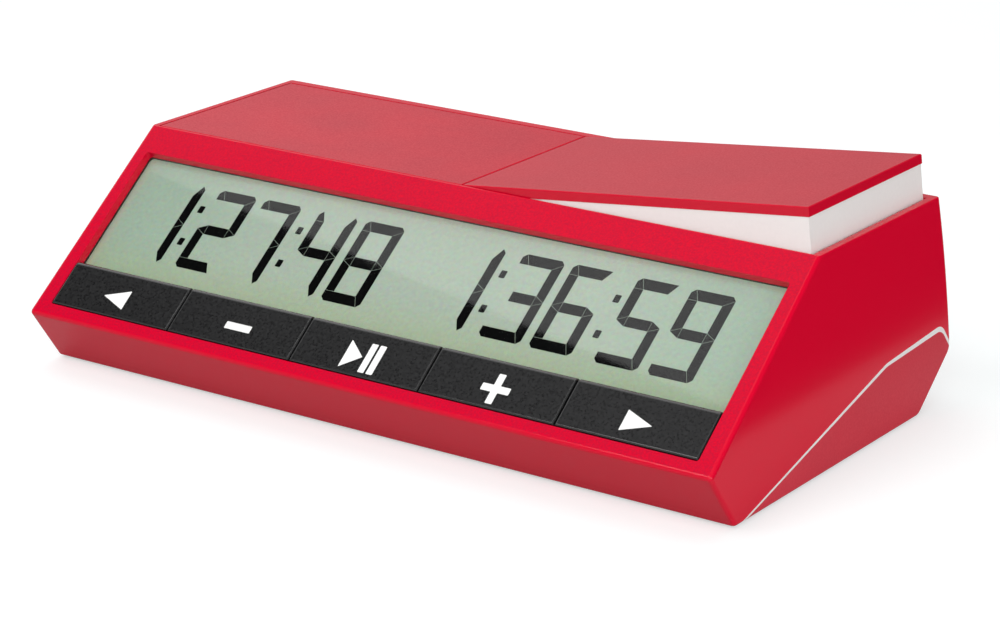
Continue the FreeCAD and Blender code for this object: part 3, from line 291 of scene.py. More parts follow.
def screw_tree():
    """Node tree that puts one screw on each point: its head below the point, its shank up along +Z."""
    tree = bpy.data.node_groups.new("pan_head_screw", "GeometryNodeTree")
    tree.interface.new_socket("Places", in_out="INPUT", socket_type="NodeSocketGeometry")
    for name in SCREW_INPUTS:
        tree.interface.new_socket(name, in_out="INPUT", socket_type="NodeSocketFloat")
    tree.interface.new_socket("Facing", in_out="INPUT", socket_type="NodeSocketVector")
    tree.interface.new_socket("Metal", in_out="INPUT", socket_type="NodeSocketMaterial")
    tree.interface.new_socket("Screws", in_out="OUTPUT", socket_type="NodeSocketGeometry")
    given = add(tree, "NodeGroupInput").outputs

    def scaled(socket, factor):
        """That socket times a plain number."""
        node = add(tree, "ShaderNodeMath", {1: factor}, {0: socket}, operation="MULTIPLY")
        return node.outputs[0]

    def raised(mesh, height):
        """That mesh moved along Z by a socket's height."""
        lift = add(tree, "ShaderNodeCombineXYZ", {}, {"Z": height})
        node = add(tree, "GeometryNodeTransform", {}, {"Geometry": mesh, "Translation": lift.outputs[0]})
        return node.outputs["Geometry"]

    head, rise = given["Head radius"], given["Head height"]
    shank, length, pitch = given["Shank radius"], given["Shank length"], given["Thread pitch"]
    rim = add(
        tree,
        "GeometryNodeMeshCylinder",
        {"Vertices": 32},
        {"Radius": head, "Depth": scaled(rise, RIM_SHARE)},
    )
    dome = add(
        tree,
        "GeometryNodeMeshCone",
        {"Vertices": 32},
        {
            "Radius Bottom": scaled(head, TOP_SHARE),
            "Radius Top": head,
            "Depth": scaled(rise, DOME_SHARE),
        },
    )
    rod = add(tree, "GeometryNodeMeshCylinder", {"Vertices": 20}, {"Radius": shank, "Depth": length})
    solid = add(tree, "GeometryNodeMeshBoolean", operation="UNION")
    for part in (
        raised(rim.outputs["Mesh"], scaled(rise, -RIM_SHARE / 2)),
        raised(dome.outputs["Mesh"], scaled(rise, -1.0)),
        raised(rod.outputs["Mesh"], scaled(length, SHANK_MIDDLE)),
    ):
        tree.links.new(part, solid.inputs["Mesh 2"])
    slot_size = add(
        tree,
        "ShaderNodeCombineXYZ",
        {},
        {"X": scaled(head, ARM_LONG), "Y": scaled(head, ARM_WIDE), "Z": scaled(rise, ARM_DEEP)},
    )
    slot = add(tree, "GeometryNodeMeshCube", {}, {"Size": slot_size.outputs[0]})
    bottom = scaled(rise, -1.0)
    turned = add(
        tree,
        "GeometryNodeTransform",
        {"Rotation": (0.0, 0.0, math.pi / 2)},
        {"Geometry": raised(slot.outputs["Mesh"], bottom)},
    )
    cross = add(
        tree, "GeometryNodeMeshBoolean", {}, {"Mesh 1": solid.outputs["Mesh"]}, operation="DIFFERENCE"
    )
    tree.links.new(raised(slot.outputs["Mesh"], bottom), cross.inputs["Mesh 2"])
    tree.links.new(turned.outputs["Geometry"], cross.inputs["Mesh 2"])
    turns = add(
        tree, "ShaderNodeMath", {}, {0: scaled(length, THREAD_RUN), 1: pitch}, operation="DIVIDE"
    )
    helix = add(
        tree,
        "GeometryNodeCurveSpiral",
        {"Resolution": 12},
        {
            "Rotations": turns.outputs[0],
            "Start Radius": shank,
            "End Radius": shank,
            "Height": scaled(length, THREAD_RUN),
        },
    )
    ridge = add(
        tree,
        "GeometryNodeCurvePrimitiveCircle",
        {"Resolution": 3},
        {"Radius": scaled(pitch, RIDGE_SHARE)},
    )
    thread = add(
        tree,
        "GeometryNodeCurveToMesh",
        {"Fill Caps": True},
        {"Curve": helix.outputs["Curve"], "Profile Curve": ridge.outputs["Curve"]},
    )
    whole = add(tree, "GeometryNodeJoinGeometry")
    tree.links.new(cross.outputs["Mesh"], whole.inputs["Geometry"])
    wound = raised(thread.outputs["Mesh"], scaled(length, THREAD_START))
    tree.links.new(wound, whole.inputs["Geometry"])
    facing = add(tree, "FunctionNodeEulerToRotation", {}, {"Euler": given["Facing"]})
    copies = add(
        tree,
        "GeometryNodeInstanceOnPoints",
        {},
        {
            "Points": given["Places"],
            "Instance": whole.outputs["Geometry"],
            "Rotation": facing.outputs["Rotation"],
        },
    )
    real = add(tree, "GeometryNodeRealizeInstances", {}, {"Geometry": copies.outputs["Instances"]})
    plated = add(
        tree,
        "GeometryNodeSetMaterial",
        {},
        {"Geometry": real.outputs["Geometry"], "Material": given["Metal"]},
    )
    add(tree, "NodeGroupOutput", (), {"Screws": plated.outputs["Geometry"]})
    return tree


def show(name, mesh, body):
    """A piece from a mesh that already lies in place, riding on a body."""
    piece = bpy.data.objects.new(name, mesh)
    bpy.context.scene.collection.objects.link(piece)
    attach(piece, body)
    return piece


def grow(name, places, tree, inputs):
    """Runs a geometry tree on points and gives back what it makes as a plain mesh."""
    seed = bpy.data.meshes.new(name)
    seed.from_pydata([tuple(p) for p in places], [], [])
    holder = bpy.data.objects.new(name + "_points", seed)
    bpy.context.scene.collection.objects.link(holder)
    modifier = holder.modifiers.new("tree", "NODES")
    modifier.node_group = tree
    for socket in tree.interface.items_tree:
        if socket.in_out == "INPUT" and socket.name in inputs:
            modifier[socket.identifier] = inputs[socket.name]
    ready = holder.evaluated_get(bpy.context.evaluated_depsgraph_get())
    mesh = bpy.data.meshes.new_from_object(ready)
    bpy.data.objects.remove(holder)
    mesh.name = name
    return mesh


MERGE_WITHIN = 1e-6


def solids(node):
    """The separate solids of a CAD node, each as a list of its corner points."""
    mesh = frame["nodes"][node].data
    merged = bmesh.new()
    merged.from_mesh(mesh)
    bmesh.ops.remove_doubles(merged, verts=merged.verts, dist=MERGE_WITHIN)
    left, found = set(merged.verts), []
    while left:
        group, edge = [], [left.pop()]
        while edge:
            corner = edge.pop()
            group.append(corner.co.copy())
            for link in corner.link_edges:
                other = link.other_vert(corner)
                if other in left:
                    left.remove(other)
                    edge.append(other)
        found.append(group)
    merged.free()
    return found


screws = screw_tree()
UP, DOWN = Vector((0.0, 0.0, 1.0)), Vector((0.0, 0.0, -1.0))


def fit_screws(node, axis, head_radius, head_height, shank_radius, pitch):
    """Puts cross-recess screws where a CAD node has its plain ones, with their tips towards axis."""
    places = {}
    for corners in solids(node):
        centre = sum(corners, Vector()) / len(corners)
        along = [c.dot(axis) for c in corners]
        seat = centre + axis * (min(along) + head_height - centre.dot(axis))
        shank = round(max(along) - min(along) - head_height, 4)
        places.setdefault(shank, []).append(seat)
    whole = bmesh.new()
    for length, points in sorted(places.items()):
        mesh = grow(
            node,
            points,
            screws,
            {
                "Head radius": head_radius,
                "Head height": head_height,
                "Shank radius": shank_radius,
                "Shank length": length,
                "Thread pitch": pitch,
                "Facing": tuple(UP.rotation_difference(axis).to_euler()),
                "Metal": zinc_steel,
            },
        )
        whole.from_mesh(mesh)
    made = bpy.data.meshes.new(node)
    whole.to_mesh(made)
    whole.free()
    made.materials.append(zinc_steel)
    piece = show(node + "_cross_recess", made, "case")
    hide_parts(node)
    return piece


# Radius and height of the heads, as in the CAD nodes.
LARGE_HEAD, SMALL_HEAD = (2.7 * MM, 1.8 * MM), (1.9 * MM, 1.2 * MM)
fit_screws("case_screws", UP, *LARGE_HEAD, shank_radius=1.15 * MM, pitch=1.3 * MM)
fit_screws("board_screws", OUTWARD, *SMALL_HEAD, shank_radius=0.7 * MM, pitch=0.9 * MM)
fit_screws("sensor_screws", UP, *SMALL_HEAD, shank_radius=0.8 * MM, pitch=0.9 * MM)
fit_screws("power_screws", DOWN, *SMALL_HEAD, shank_radius=0.8 * MM, pitch=0.9 * MM)


# ---------------------------------------------------------------------------------------------
# Circuit boards: glass-fibre laminate under a green solder mask, with copper tracks showing through it.
# The main board hangs behind the display, and small ones carry the Hall sensors and the power switch.
# ---------------------------------------------------------------------------------------------
# A track is 0.2 mm wide, and runs nine times as far as it lies from the next one.
TRACK_WIDE, TRACK_RUN = 0.0002, 9


def solder_mask(name, mask, copper, pitch, turn):
    """A board: tracks pitch metres apart under a coloured mask. turn is the board's tilt about X."""
    material, tree, place = new_finish(name)
    flat = add(tree, "ShaderNodeMapping", {"Rotation": (-turn, 0.0, 0.0)}, {"Vector": place})
    tracks = add(
        tree,
        "ShaderNodeTexBrick",
        {
            "Color1": linear(mask),
            "Color2": linear(mask),
            "Mortar": linear(copper),
            "Scale": 1.0,
            "Mortar Size": TRACK_WIDE,
            "Brick Width": TRACK_RUN * pitch,
            "Row Height": pitch,
        },
        {"Vector": flat.outputs["Vector"]},
    )
    relief = add(
        tree, "ShaderNodeBump", {"Strength": 0.8, "Distance": 0.035 * MM}, {"Height": tracks.outputs["Fac"]}
    )
    skin = add(
        tree,
        "ShaderNodeBsdfPrincipled",
        {"Roughness": 0.28, "IOR": 1.55},
        {"Base Color": tracks.outputs["Color"], "Normal": relief.outputs["Normal"]},
    )
    add(tree, "ShaderNodeOutputMaterial", (), {"Surface": skin.outputs["BSDF"]})
    return material


MASK_GREEN, TRACK_GREEN = "#14532f", "#2f7d4a"
TRACK_PITCH = 1.6 * MM
mask_sloped = solder_mask("laminate_green_mask_sloped", MASK_GREEN, TRACK_GREEN, TRACK_PITCH, SLOPE)
coat_with(mask_sloped, "main_board")
mask_level = solder_mask("laminate_green_mask_level", MASK_GREEN, TRACK_GREEN, TRACK_PITCH, 0.0)
coat_with(mask_level, "sensor_board", "power_board")

# ---------------------------------------------------------------------------------------------
# Board parts: the controller, sensors, switch and socket are moulded in matt black epoxy and nylon.
# The crystal, capacitors and sounder have drawn metal cans, soldered to the boards.
# ---------------------------------------------------------------------------------------------
chip_epoxy = moulded(
    "epoxy_black_matt", "#1b1c1e", "#26282a", 0.4 * MM, 0.01 * MM, (0.5, 0.7), specular=0.4
)
coat_with(chip_epoxy, "controller_chip", "hall_sensors", "power_switch", "battery_socket", "buzzer")
drawn_can = rolled_steel(
    "aluminium_drawn_can", "#d5d6d8", "#b4b6ba", 2.0 * MM, (0.2, 0.4), stretch=(1.0, 1.0, 0.15)
)
coat_with(drawn_can, "crystal", "capacitors")


# ---------------------------------------------------------------------------------------------
# Batteries: two AA cells in a printed film sleeve, held between nickel-plated steel contacts.
# Thin PVC-covered leads run from the bay and the small boards to the main board.
# ---------------------------------------------------------------------------------------------
# The coloured band starts this far from the cell's middle, and its edge is this wide.
BAND_START, BAND_EDGE = 11.0 * MM, 0.3 * MM


def cell_sleeve(name, body_colour, end_colour, positive):
    """A shrunk film sleeve with a band of another colour at the positive end.
    positive is that end's direction along X, +1 or -1."""
    material, tree, place = new_finish(name)
    axes = add(tree, "ShaderNodeSeparateXYZ", (), {"Vector": place})
    band = add(
        tree,
        "ShaderNodeMapRange",
        {
            "From Min": positive * BAND_START,
            "From Max": positive * (BAND_START + BAND_EDGE),
            "To Min": 0.0,
            "To Max": 1.0,
        },
        {"Value": axes.outputs["X"]},
    )
    tint = add(tree, "ShaderNodeMix", {}, {"Factor": band.outputs["Result"]}, data_type="RGBA")
    tint.inputs["A"].default_value = linear(body_colour)
    tint.inputs["B"].default_value = linear(end_colour)
    wrinkles = add(tree, "ShaderNodeTexNoise", {"Scale": 1 / (4 * MM), "Detail": 2.0}, {"Vector": place})
    relief = add(
        tree, "ShaderNodeBump", {"Strength": 0.5, "Distance": 0.03 * MM}, {"Height": wrinkles.outputs["Fac"]}
    )
    skin = add(
        tree,
        "ShaderNodeBsdfPrincipled",
        {"Roughness": 0.25, "Metallic": 0.3},
        {"Base Color": tint.outputs["Result"], "Normal": relief.outputs["Normal"]},
    )
    add(tree, "ShaderNodeOutputMaterial", (), {"Surface": skin.outputs["BSDF"]})
    return material


SLEEVE_BLACK, SLEEVE_COPPER = "#23262b", "#b9852f"
coat_with(cell_sleeve("film_sleeve_cell_one", SLEEVE_BLACK, SLEEVE_COPPER, -1), "battery_1")
coat_with(cell_sleeve("film_sleeve_cell_two", SLEEVE_BLACK, SLEEVE_COPPER, 1), "battery_2")
nickel_strip = rolled_steel(
    "steel_nickel_strip", "#d9d6cd", "#bdb9ae", 1.0 * MM, (0.2, 0.35), stretch=(1.0, 0.2, 1.0)
)
coat_with(nickel_strip, "battery_plates", "battery_springs")
lead_cover = moulded(
    "pvc_black_lead", "#1a1a1c", "#242427", 1.5 * MM, 0.01 * MM, (0.35, 0.5), specular=0.4
)
coat_with(lead_cover, "battery_leads", "sensor_lead", "power_lead")

# ---------------------------------------------------------------------------------------------
# Power button: a small cap of charcoal ABS with a fine grain.
# It comes up through the underside and works the switch above it.
# ---------------------------------------------------------------------------------------------
abs_charcoal = moulded(
    "abs_charcoal_grain", "#2c2c2e", "#38383a", 0.6 * MM, 0.02 * MM, (0.42, 0.58), specular=0.4
)
coat_with(abs_charcoal, "power_button")


# ---------------------------------------------------------------------------------------------
# Display: a reflective liquid-crystal cell in a black frame, on a conductive rubber strip.
# Its glass looks grey-green with a fine coloured mottle from the polariser, and its painted sheen makes it
# paler in the middle.
# ---------------------------------------------------------------------------------------------
def furthest(node, axis):
    """How far a CAD node reaches along axis."""
    return max(v.co.dot(axis) for v in frame["nodes"][node].data.vertices)


glass_front = furthest("lcd_panel", OUTWARD)
lens_top = furthest("display_lens", UP_SLOPE)
LENS_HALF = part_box("display_lens")[1].x
# Painted sheen: the glass keeps its paler colour up to this share of its half width, and reaches the darker,
# greener one at its ends.
SHEEN_FADE_FROM = 0.45
# It yellows between these two depths below the lens's top edge.
FOOT_FROM, FOOT_FULL = 24 * MM, 39 * MM
# The real mottle is finer than this, which is drawn coarse enough to show.
MOTTLE_SIZE, MOTTLE_STRENGTH = 1.1 * MM, 0.28


def display_glass():
    """The cell: a mottled grey-green that turns yellower towards its foot, and darker and greener at its ends
    by painted sheen.
    """
    material, tree, place = new_finish("glass_lcd_polarised")
    slope = add(tree, "ShaderNodeMapping", {"Rotation": (-SLOPE, 0.0, 0.0)}, {"Vector": place})
    axes = add(tree, "ShaderNodeSeparateXYZ", (), {"Vector": slope.outputs["Vector"]})
    ends = add(tree, "ShaderNodeMath", {}, {0: axes.outputs["X"]}, operation="ABSOLUTE")
    outer = add(
        tree,
        "ShaderNodeMapRange",
        {"From Min": SHEEN_FADE_FROM * LENS_HALF, "From Max": LENS_HALF, "To Min": 0.0, "To Max": 0.75},
        {"Value": ends.outputs[0]},
        interpolation_type="SMOOTHSTEP",
    )
    # Painted sheen of the reflector: paler in the middle, darker and greener towards the ends.
    wide = add(tree, "ShaderNodeMix", {}, {"Factor": outer.outputs["Result"]}, data_type="RGBA")
    wide.inputs["A"].default_value = linear("#a9b8a8")
    wide.inputs["B"].default_value = linear("#97af9b")
    foot = add(
        tree,
        "ShaderNodeMapRange",
        {
            "From Min": lens_top - FOOT_FROM,
            "From Max": lens_top - FOOT_FULL,
            "To Min": 0.0,
            "To Max": 0.55,
        },
        {"Value": axes.outputs["Y"]},
        interpolation_type="SMOOTHSTEP",
    )
    tall = add(
        tree,
        "ShaderNodeMix",
        {},
        {"Factor": foot.outputs["Result"], "A": wide.outputs["Result"]},
        data_type="RGBA",
    )
    tall.inputs["B"].default_value = linear("#a1b18b")
    mottle = add(
        tree,
        "ShaderNodeTexNoise",
        {"Scale": 1 / MOTTLE_SIZE, "Detail": 3.0, "Roughness": 0.7},
        {"Vector": place},
    )
    speckled = add(
        tree,
        "ShaderNodeMix",
        {"Factor": MOTTLE_STRENGTH},
        {"A": tall.outputs["Result"], "B": mottle.outputs["Color"]},
        data_type="RGBA",
        blend_type="OVERLAY",
    )
    skin = add(
        tree,
        "ShaderNodeBsdfPrincipled",
        {"Roughness": 0.6, "IOR": 1.5, "Specular IOR Level": 0.15},
        {"Base Color": speckled.outputs["Result"]},
    )
    add(tree, "ShaderNodeOutputMaterial", (), {"Surface": skin.outputs["BSDF"]})
    return material


coat_with(display_glass(), "lcd_panel")
coat_with(
    moulded("film_white_reflector", "#dfe2dd", "#d2d6d0", 1.0 * MM, 0.01 * MM, (0.3, 0.5)), "lcd_reflector"
)
frame_black = moulded(
    "polycarbonate_black_frame", "#0d0d0e", "#151516", 0.5 * MM, 0.01 * MM, (0.35, 0.5), specular=0.4
)
coat_with(frame_black, "lcd_frame")
strip_rubber = moulded(
    "silicone_conductive_strip", "#3a3c40", "#24262a", 0.5 * MM, 0.02 * MM, (0.5, 0.7), specular=0.3
)
coat_with(strip_rubber, "zebra_strip")


# ---------------------------------------------------------------------------------------------
# Figures: lit cells of the liquid crystal, jet black and dead flat behind the lens.
# Each digit is made of bars with mitred ends, a hair apart, and its outer corners are cut off.
# ---------------------------------------------------------------------------------------------
# Sizes in millimetres: a digit, its bars, its cut corners and half the gap between two bars.
DIGIT_WIDE, DIGIT_TALL = 13.1, 26.75
STROKE_UPRIGHT, STROKE_LEVEL = 2.95, 3.3
CORNER = 1.15
HAIR = 0.04
# Half the middle bar as a share of a level one, and how far the tip's slanting end is cut back.
MIDDLE_HALF, TIP_CUT = 0.48, 0.4
# How far the figures lean for each millimetre downwards, and how far they start below the lens's top.
LEAN = 0.021
FIGURES_TOP = 5.45
# The lit bars of each digit, by the letters of digit_bars.
LIT = {
    1: "BMC",
    2: "KABLGMED",
    3: "KABGMCD",
    4: "KFLGMBC",
    5: "KPFLGMCD",
    6: "KPFLGMECD",
    7: "KABMC",
    8: "KABCDEFLGM",
    9: "KABCDFLGM",
}
# A 1 and a 4 have no bar that meets the top of their right upright, so it ends in a tip.
WITH_TIP = (1, 4)
# Both times: each digit with its left edge, then the pairs of dots by their left and top edges.
LEFT_TIME = ((1, -93.8), (2, -75.5), (7, -59.65), (4, -40.25), (8, -24.4))
RIGHT_TIME = ((1, 8.65), (3, 27.15), (6, 42.8), (5, 62.6), (9, 78.55))
DOT_LEFTS, DOT_TOPS = (-79.0, -44.1, 23.5, 58.85), (6.3, 17.5)
DOT_WIDE, DOT_TALL, DOT_CORNER = 1.85, 2.4, 0.2
# The figures' back and front, ahead of the cell's glass.
FIGURES_BACK, FIGURES_FRONT = 0.004 * MM, 0.014 * MM


def digit_bars():
    """The outline of each bar of a digit, in millimetres: x to the right, y down from its top."""
    w, h, up, level, cut = DIGIT_WIDE, DIGIT_TALL, STROKE_UPRIGHT, STROKE_LEVEL, CORNER
    middle, thin = h / 2, MIDDLE_HALF * level
    return {
        "K": [(0, level), (0, cut), (cut, 0), (up, level)],
        "A": [(cut, 0), (w - cut, 0), (w, cut), (w - up, level), (up, level)],
        "B": [(w, cut), (w, middle), (w - up, middle - thin), (w - up, level)],
        "C": [(w, middle), (w, h - cut), (w - cut, h), (w - up, h - level), (w - up, middle + thin)],
        "D": [(w - up, h - level), (w - cut, h), (cut, h), (0, h - cut), (0, h - level)],
        "E": [(0, middle), (up, middle + thin), (up, h - level), (0, h - level)],
        "F": [(0, level), (up, level), (up, middle - thin), (0, middle)],
        "P": [(cut, 0), (w - cut, 0), (w - up, level), (up, level)],
        "L": [(0, middle), (up, middle - thin), (up, middle + thin)],
        "G": [(up, middle - thin), (w - up, middle - thin), (w - up, middle + thin), (up, middle + thin)],
        "M": [(w, middle), (w - up, middle + thin), (w - up, middle - thin)],
        "tip": [(w, cut), (w, middle), (w - up, middle - thin), (w - up, level + TIP_CUT), (w - cut, 0)],
    }


def pulled_in(outline, gap):
    """A convex outline with each side moved inwards by gap."""
    turn = sum(a[0] * b[1] - b[0] * a[1] for a, b in zip(outline, outline[1:] + outline[:1]))
    sign = 1 if turn > 0 else -1
    sides = []
    for a, b in zip(outline, outline[1:] + outline[:1]):
        run = math.dist(a, b)
        inward = (-(b[1] - a[1]) / run * sign, (b[0] - a[0]) / run * sign)
        sides.append((inward, inward[0] * a[0] + inward[1] * a[1] + gap))
    corners = []
    for (n1, d1), (n2, d2) in zip(sides[-1:] + sides[:-1], sides):
        spread = n1[0] * n2[1] - n1[1] * n2[0]
        corners.append(((d1 * n2[1] - d2 * n1[1]) / spread, (n1[0] * d2 - n2[0] * d1) / spread))
    return corners


def slope_mesh(name, outlines, top, low, high, round_by=0.0):
    """Flat shapes on the slope as thin solids, with their corners rounded by round_by.
    Outlines are in millimetres, with y down from top along the slope. low and high are the
    distances of their faces along the outward normal, in metres."""
    shape = bmesh.new()
    for outline in outlines:
        corners = [
            shape.verts.new(Vector((x * MM, 0, 0)) + UP_SLOPE * (top - y * MM) + OUTWARD * low)
            for x, y in outline
        ]
        shape.faces.new(corners)
        if round_by:
            bmesh.ops.bevel(
                shape, geom=corners, offset=round_by, segments=3, profile=0.5, affect="VERTICES"
            )
    made = bmesh.ops.extrude_face_region(shape, geom=shape.faces[:])
    front = [v for v in made["geom"] if isinstance(v, bmesh.types.BMVert)]
    bmesh.ops.translate(shape, verts=front, vec=OUTWARD * (high - low))
    bmesh.ops.recalc_face_normals(shape, faces=shape.faces)
    mesh = bpy.data.meshes.new(name)
    shape.to_mesh(mesh)
    shape.free()
    return mesh


def leaning(outline, left, top):
    """An outline placed left and top millimetres into the row of figures, and leant with it."""
    return [(left + x - LEAN * (top + y), FIGURES_TOP + top + y) for x, y in outline]


def figures():
    """Outlines of both times: a digit of hours, two of minutes and two of seconds, and the dots."""
    bars, outlines = digit_bars(), []
    for value, left in LEFT_TIME + RIGHT_TIME:
        for letter in LIT[value]:
            bar = bars["tip" if letter == "B" and value in WITH_TIP else letter]
            outlines.append(leaning(pulled_in(bar, HAIR), left, 0.0))
    wide, tall, cut = DOT_WIDE, DOT_TALL, DOT_CORNER
    dot = [(cut, 0), (wide - cut, 0), (wide, cut), (wide, tall - cut)]
    dot += [(wide - cut, tall), (cut, tall), (0, tall - cut), (0, cut)]
    for left in DOT_LEFTS:
        for top in DOT_TOPS:
            outlines.append(leaning(dot, left, top))
    return outlines


crystal_black = moulded(
    "liquid_crystal_dark", "#060607", "#0b0c0c", 0.8 * MM, 0.0, (0.6, 0.7), specular=0.0
)
figure_mesh = slope_mesh(
    "display_figures", figures(), lens_top, glass_front + FIGURES_BACK, glass_front + FIGURES_FRONT
)
figure_mesh.materials.append(crystal_black)
show("display_figures", figure_mesh, "case")


# ---------------------------------------------------------------------------------------------
# Lens: a clear acrylic window half a millimetre thick, polished on both faces.
# It only adds a reflection, so the display shows through it unchanged.
# ---------------------------------------------------------------------------------------------
# Acrylic mirrors 4 % of the light that meets it squarely, and the rest by the fifth power of the tilt.
MIRROR_SHARE, MIRROR_POWER = 0.04, 5.0


def acrylic_clear():
    """Clear sheet: see-through, with a mirror's share of light by the angle it is met at."""
    material, tree, place = new_finish("acrylic_clear_polished")
    ripple = add(tree, "ShaderNodeTexNoise", {"Scale": 1 / (25 * MM), "Detail": 1.0}, {"Vector": place})
    relief = add(
        tree, "ShaderNodeBump", {"Strength": 0.15, "Distance": 0.02 * MM}, {"Height": ripple.outputs["Fac"]}
    )
    tilt = add(tree, "ShaderNodeLayerWeight", {"Blend": 0.5}, {"Normal": relief.outputs["Normal"]})
    grazing = add(
        tree, "ShaderNodeMath", {1: MIRROR_POWER}, {0: tilt.outputs["Facing"]}, operation="POWER"
    )
    share = add(
        tree,
        "ShaderNodeMath",
        {1: 1 - MIRROR_SHARE, 2: MIRROR_SHARE},
        {0: grazing.outputs[0]},
        operation="MULTIPLY_ADD",
    )
    open_part = add(tree, "ShaderNodeBsdfTransparent")
    mirror = add(tree, "ShaderNodeBsdfGlossy", {"Roughness": 0.03}, {"Normal": relief.outputs["Normal"]})
    sheet = add(
        tree,
        "ShaderNodeMixShader",
        (),
        {"Fac": share.outputs[0], 1: open_part.outputs["BSDF"], 2: mirror.outputs["BSDF"]},
    )
    add(tree, "ShaderNodeOutputMaterial", (), {"Surface": sheet.outputs["Shader"]})
    return material


coat_with(acrylic_clear(), "display_lens")

# ---------------------------------------------------------------------------------------------
# Keys: five black caps side by side below the display, on a silicone mat with a dome for each.
# They are moulded with a fine matt grain, and their white signs are printed on and slightly raised.
# ---------------------------------------------------------------------------------------------
# The real grain is about 0.25 mm. It is drawn at 0.7 mm, so that it shows at this size.
# Their rounded edges are worn smooth by the tool, so each draws a thin bright line beside the gap.
key_black = moulded(
    "abs_black_spark_grain",
    "#0c0c0d",
    "#1c1c1d",
    0.7 * MM,
    0.03 * MM,
    (0.26, 0.38),
    specular=0.3,
    speck=0.85,
    etched=tuple(OUTWARD),
    polish=(0.22, 1.0),
)
KEYS = ("key_left", "key_minus", "key_play_pause", "key_plus", "key_right")
coat_with(key_black, *KEYS)
mat_silicone = moulded(
    "silicone_grey_mat", "#8f9193", "#9da0a2", 0.8 * MM, 0.02 * MM, (0.5, 0.7), specular=0.35
)
coat_with(mat_silicone, "key_mat")
sign_white = moulded(
    "ink_white_printed", "#f6f6f4", "#ececea", 0.5 * MM, 0.01 * MM, (0.45, 0.55), specular=0.4
)


def box_outline(left, right, top, foot):
    """A rectangle's corners."""
    return [(left, top), (right, top), (right, foot), (left, foot)]


def plus_outline(reach, tall, half):
    """A plus sign, with arms that go out by reach and up by tall, each twice half wide."""
    upper = [(-half, -tall), (half, -tall), (half, -half), (reach, -half), (reach, half), (half, half)]
    return upper + [(-x, -y) for x, y in upper]


# Signs by key: the body that they ride on and their outlines, in millimetres from the key's middle.
ARROW_HALF, ARROW_TALL = 4.15, 3.1
SIGNS = {
    "key_left": (
        "left_key",
        [[(ARROW_HALF, -ARROW_TALL), (ARROW_HALF, ARROW_TALL), (-ARROW_HALF, 0)]],
    ),
    "key_minus": ("minus_key", [box_outline(-4.3, 4.3, -1.1, 1.1)]),
    "key_play_pause": (
        "play_pause_key",
        [
            [(-5.5, -4.3), (0.1, 0), (-5.5, 4.3)],
            box_outline(0.95, 2.95, -4.5, 4.5),
            box_outline(3.65, 5.65, -4.5, 4.5),
        ],
    ),
    "key_plus": ("plus_key", [plus_outline(4.3, 4.5, 1.05)]),
    "key_right": (
        "right_key",
        [[(-ARROW_HALF, -ARROW_TALL), (ARROW_HALF, 0), (-ARROW_HALF, ARROW_TALL)]],
    ),
}
# How far the signs' middle lies below the lens's top edge.
SIGN_MIDDLE = 47.6
# The signs are not printed quite in the middle of their keys.
SIGN_SHIFT = {
    "key_left": -1.1,
    "key_minus": 0.5,
    "key_play_pause": 0.1,
    "key_plus": 0.4,
    "key_right": 0.85,
}
SIGN_BACK, SIGN_FRONT, SIGN_ROUND = -0.05 * MM, 0.04 * MM, 0.25 * MM
for key in KEYS:
    body, outlines = SIGNS[key]
    low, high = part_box(key)
    middle = (low.x + high.x) / 2 / MM + SIGN_SHIFT[key]
    top = furthest(key, OUTWARD)
    placed = [[(middle + x, SIGN_MIDDLE + y) for x, y in outline] for outline in outlines]
    sign = slope_mesh(
        "sign_" + key, placed, lens_top, top + SIGN_BACK, top + SIGN_FRONT, round_by=SIGN_ROUND
    )
    sign.materials.append(sign_white)
    show("sign_" + key, sign, body)

# ---------------------------------------------------------------------------------------------
# Rocker: a white ABS lever on a steel axle, with two red cover plates set on top.
# Magnets under its ends pass the Hall sensors, and rubber bumpers stop it at each side.
# ---------------------------------------------------------------------------------------------
coat_with(abs_white, "rocker_body")
# The plates are matt on top and polished round their edges, which are a deeper red with a bright line.
cover_red = moulded(
    "abs_red_satin_cover",
    "#cb0529",
    "#b90929",
    0.5 * MM,
    0.02 * MM,
    (0.36, 0.48),
    specular=0.4,
    etched=tuple(UP),
    polish=(0.18, 0.35),
)
coat_with(cover_red, "rocker_cover_left", "rocker_cover_right")
coat_with(zinc_steel, "rocker_axle")
magnet_nickel = rolled_steel("magnet_nickel_plated", "#d8d6d1", "#c2bfb8", 2.5 * MM, (0.12, 0.25))
coat_with(magnet_nickel, "lever_magnets")
coat_with(foot_rubber, "rocker_bumpers")

# ---------------------------------------------------------------------------------------------
# Studio: a white table, a wide soft light overhead, three small ones and pale walls all round.
# The overhead light's front edge makes the pale slanting reflection in the lens.
# ---------------------------------------------------------------------------------------------
camera = bpy.data.objects.new("camera", bpy.data.cameras.new("camera"))
bpy.context.scene.collection.objects.link(camera)
camera.data.lens = 110.6
camera.data.sensor_width = 36.0
camera.data.clip_start, camera.data.clip_end = 0.05, 20.0
YAW, TILT, ROLL = math.radians(35.292), math.radians(90 - 18.677), math.radians(-0.18)
EYE = Vector((0.4619, -0.6445, 0.2877))
camera.matrix_world = (
    Matrix.Translation(EYE)
    @ Matrix.Rotation(YAW, 4, "Z")
    @ Matrix.Rotation(TILT, 4, "X")
    @ Matrix.Rotation(ROLL, 4, "Z")
)
bpy.context.scene.camera = camera

TABLE_HALF = 6.0
table_shape = bmesh.new()
bmesh.ops.create_grid(table_shape, x_segments=8, y_segments=8, size=TABLE_HALF)
table_mesh = bpy.data.meshes.new("table")
table_shape.to_mesh(table_mesh)
table_shape.free()
table = bpy.data.objects.new("table", table_mesh)
bpy.context.scene.collection.objects.link(table)
table.location.z = cad_low.z
light_table = moulded(
    "acrylic_white_lit", "#bec5c5", "#bcc4c4", 4.0 * MM, 0.0, (0.9, 0.95), specular=0.1
)
table_skin = next(n for n in light_table.node_tree.nodes if n.type == "BSDF_PRINCIPLED")
table_skin.inputs["Emission Color"].default_value = (1.0, 1.0, 1.0, 1.0)
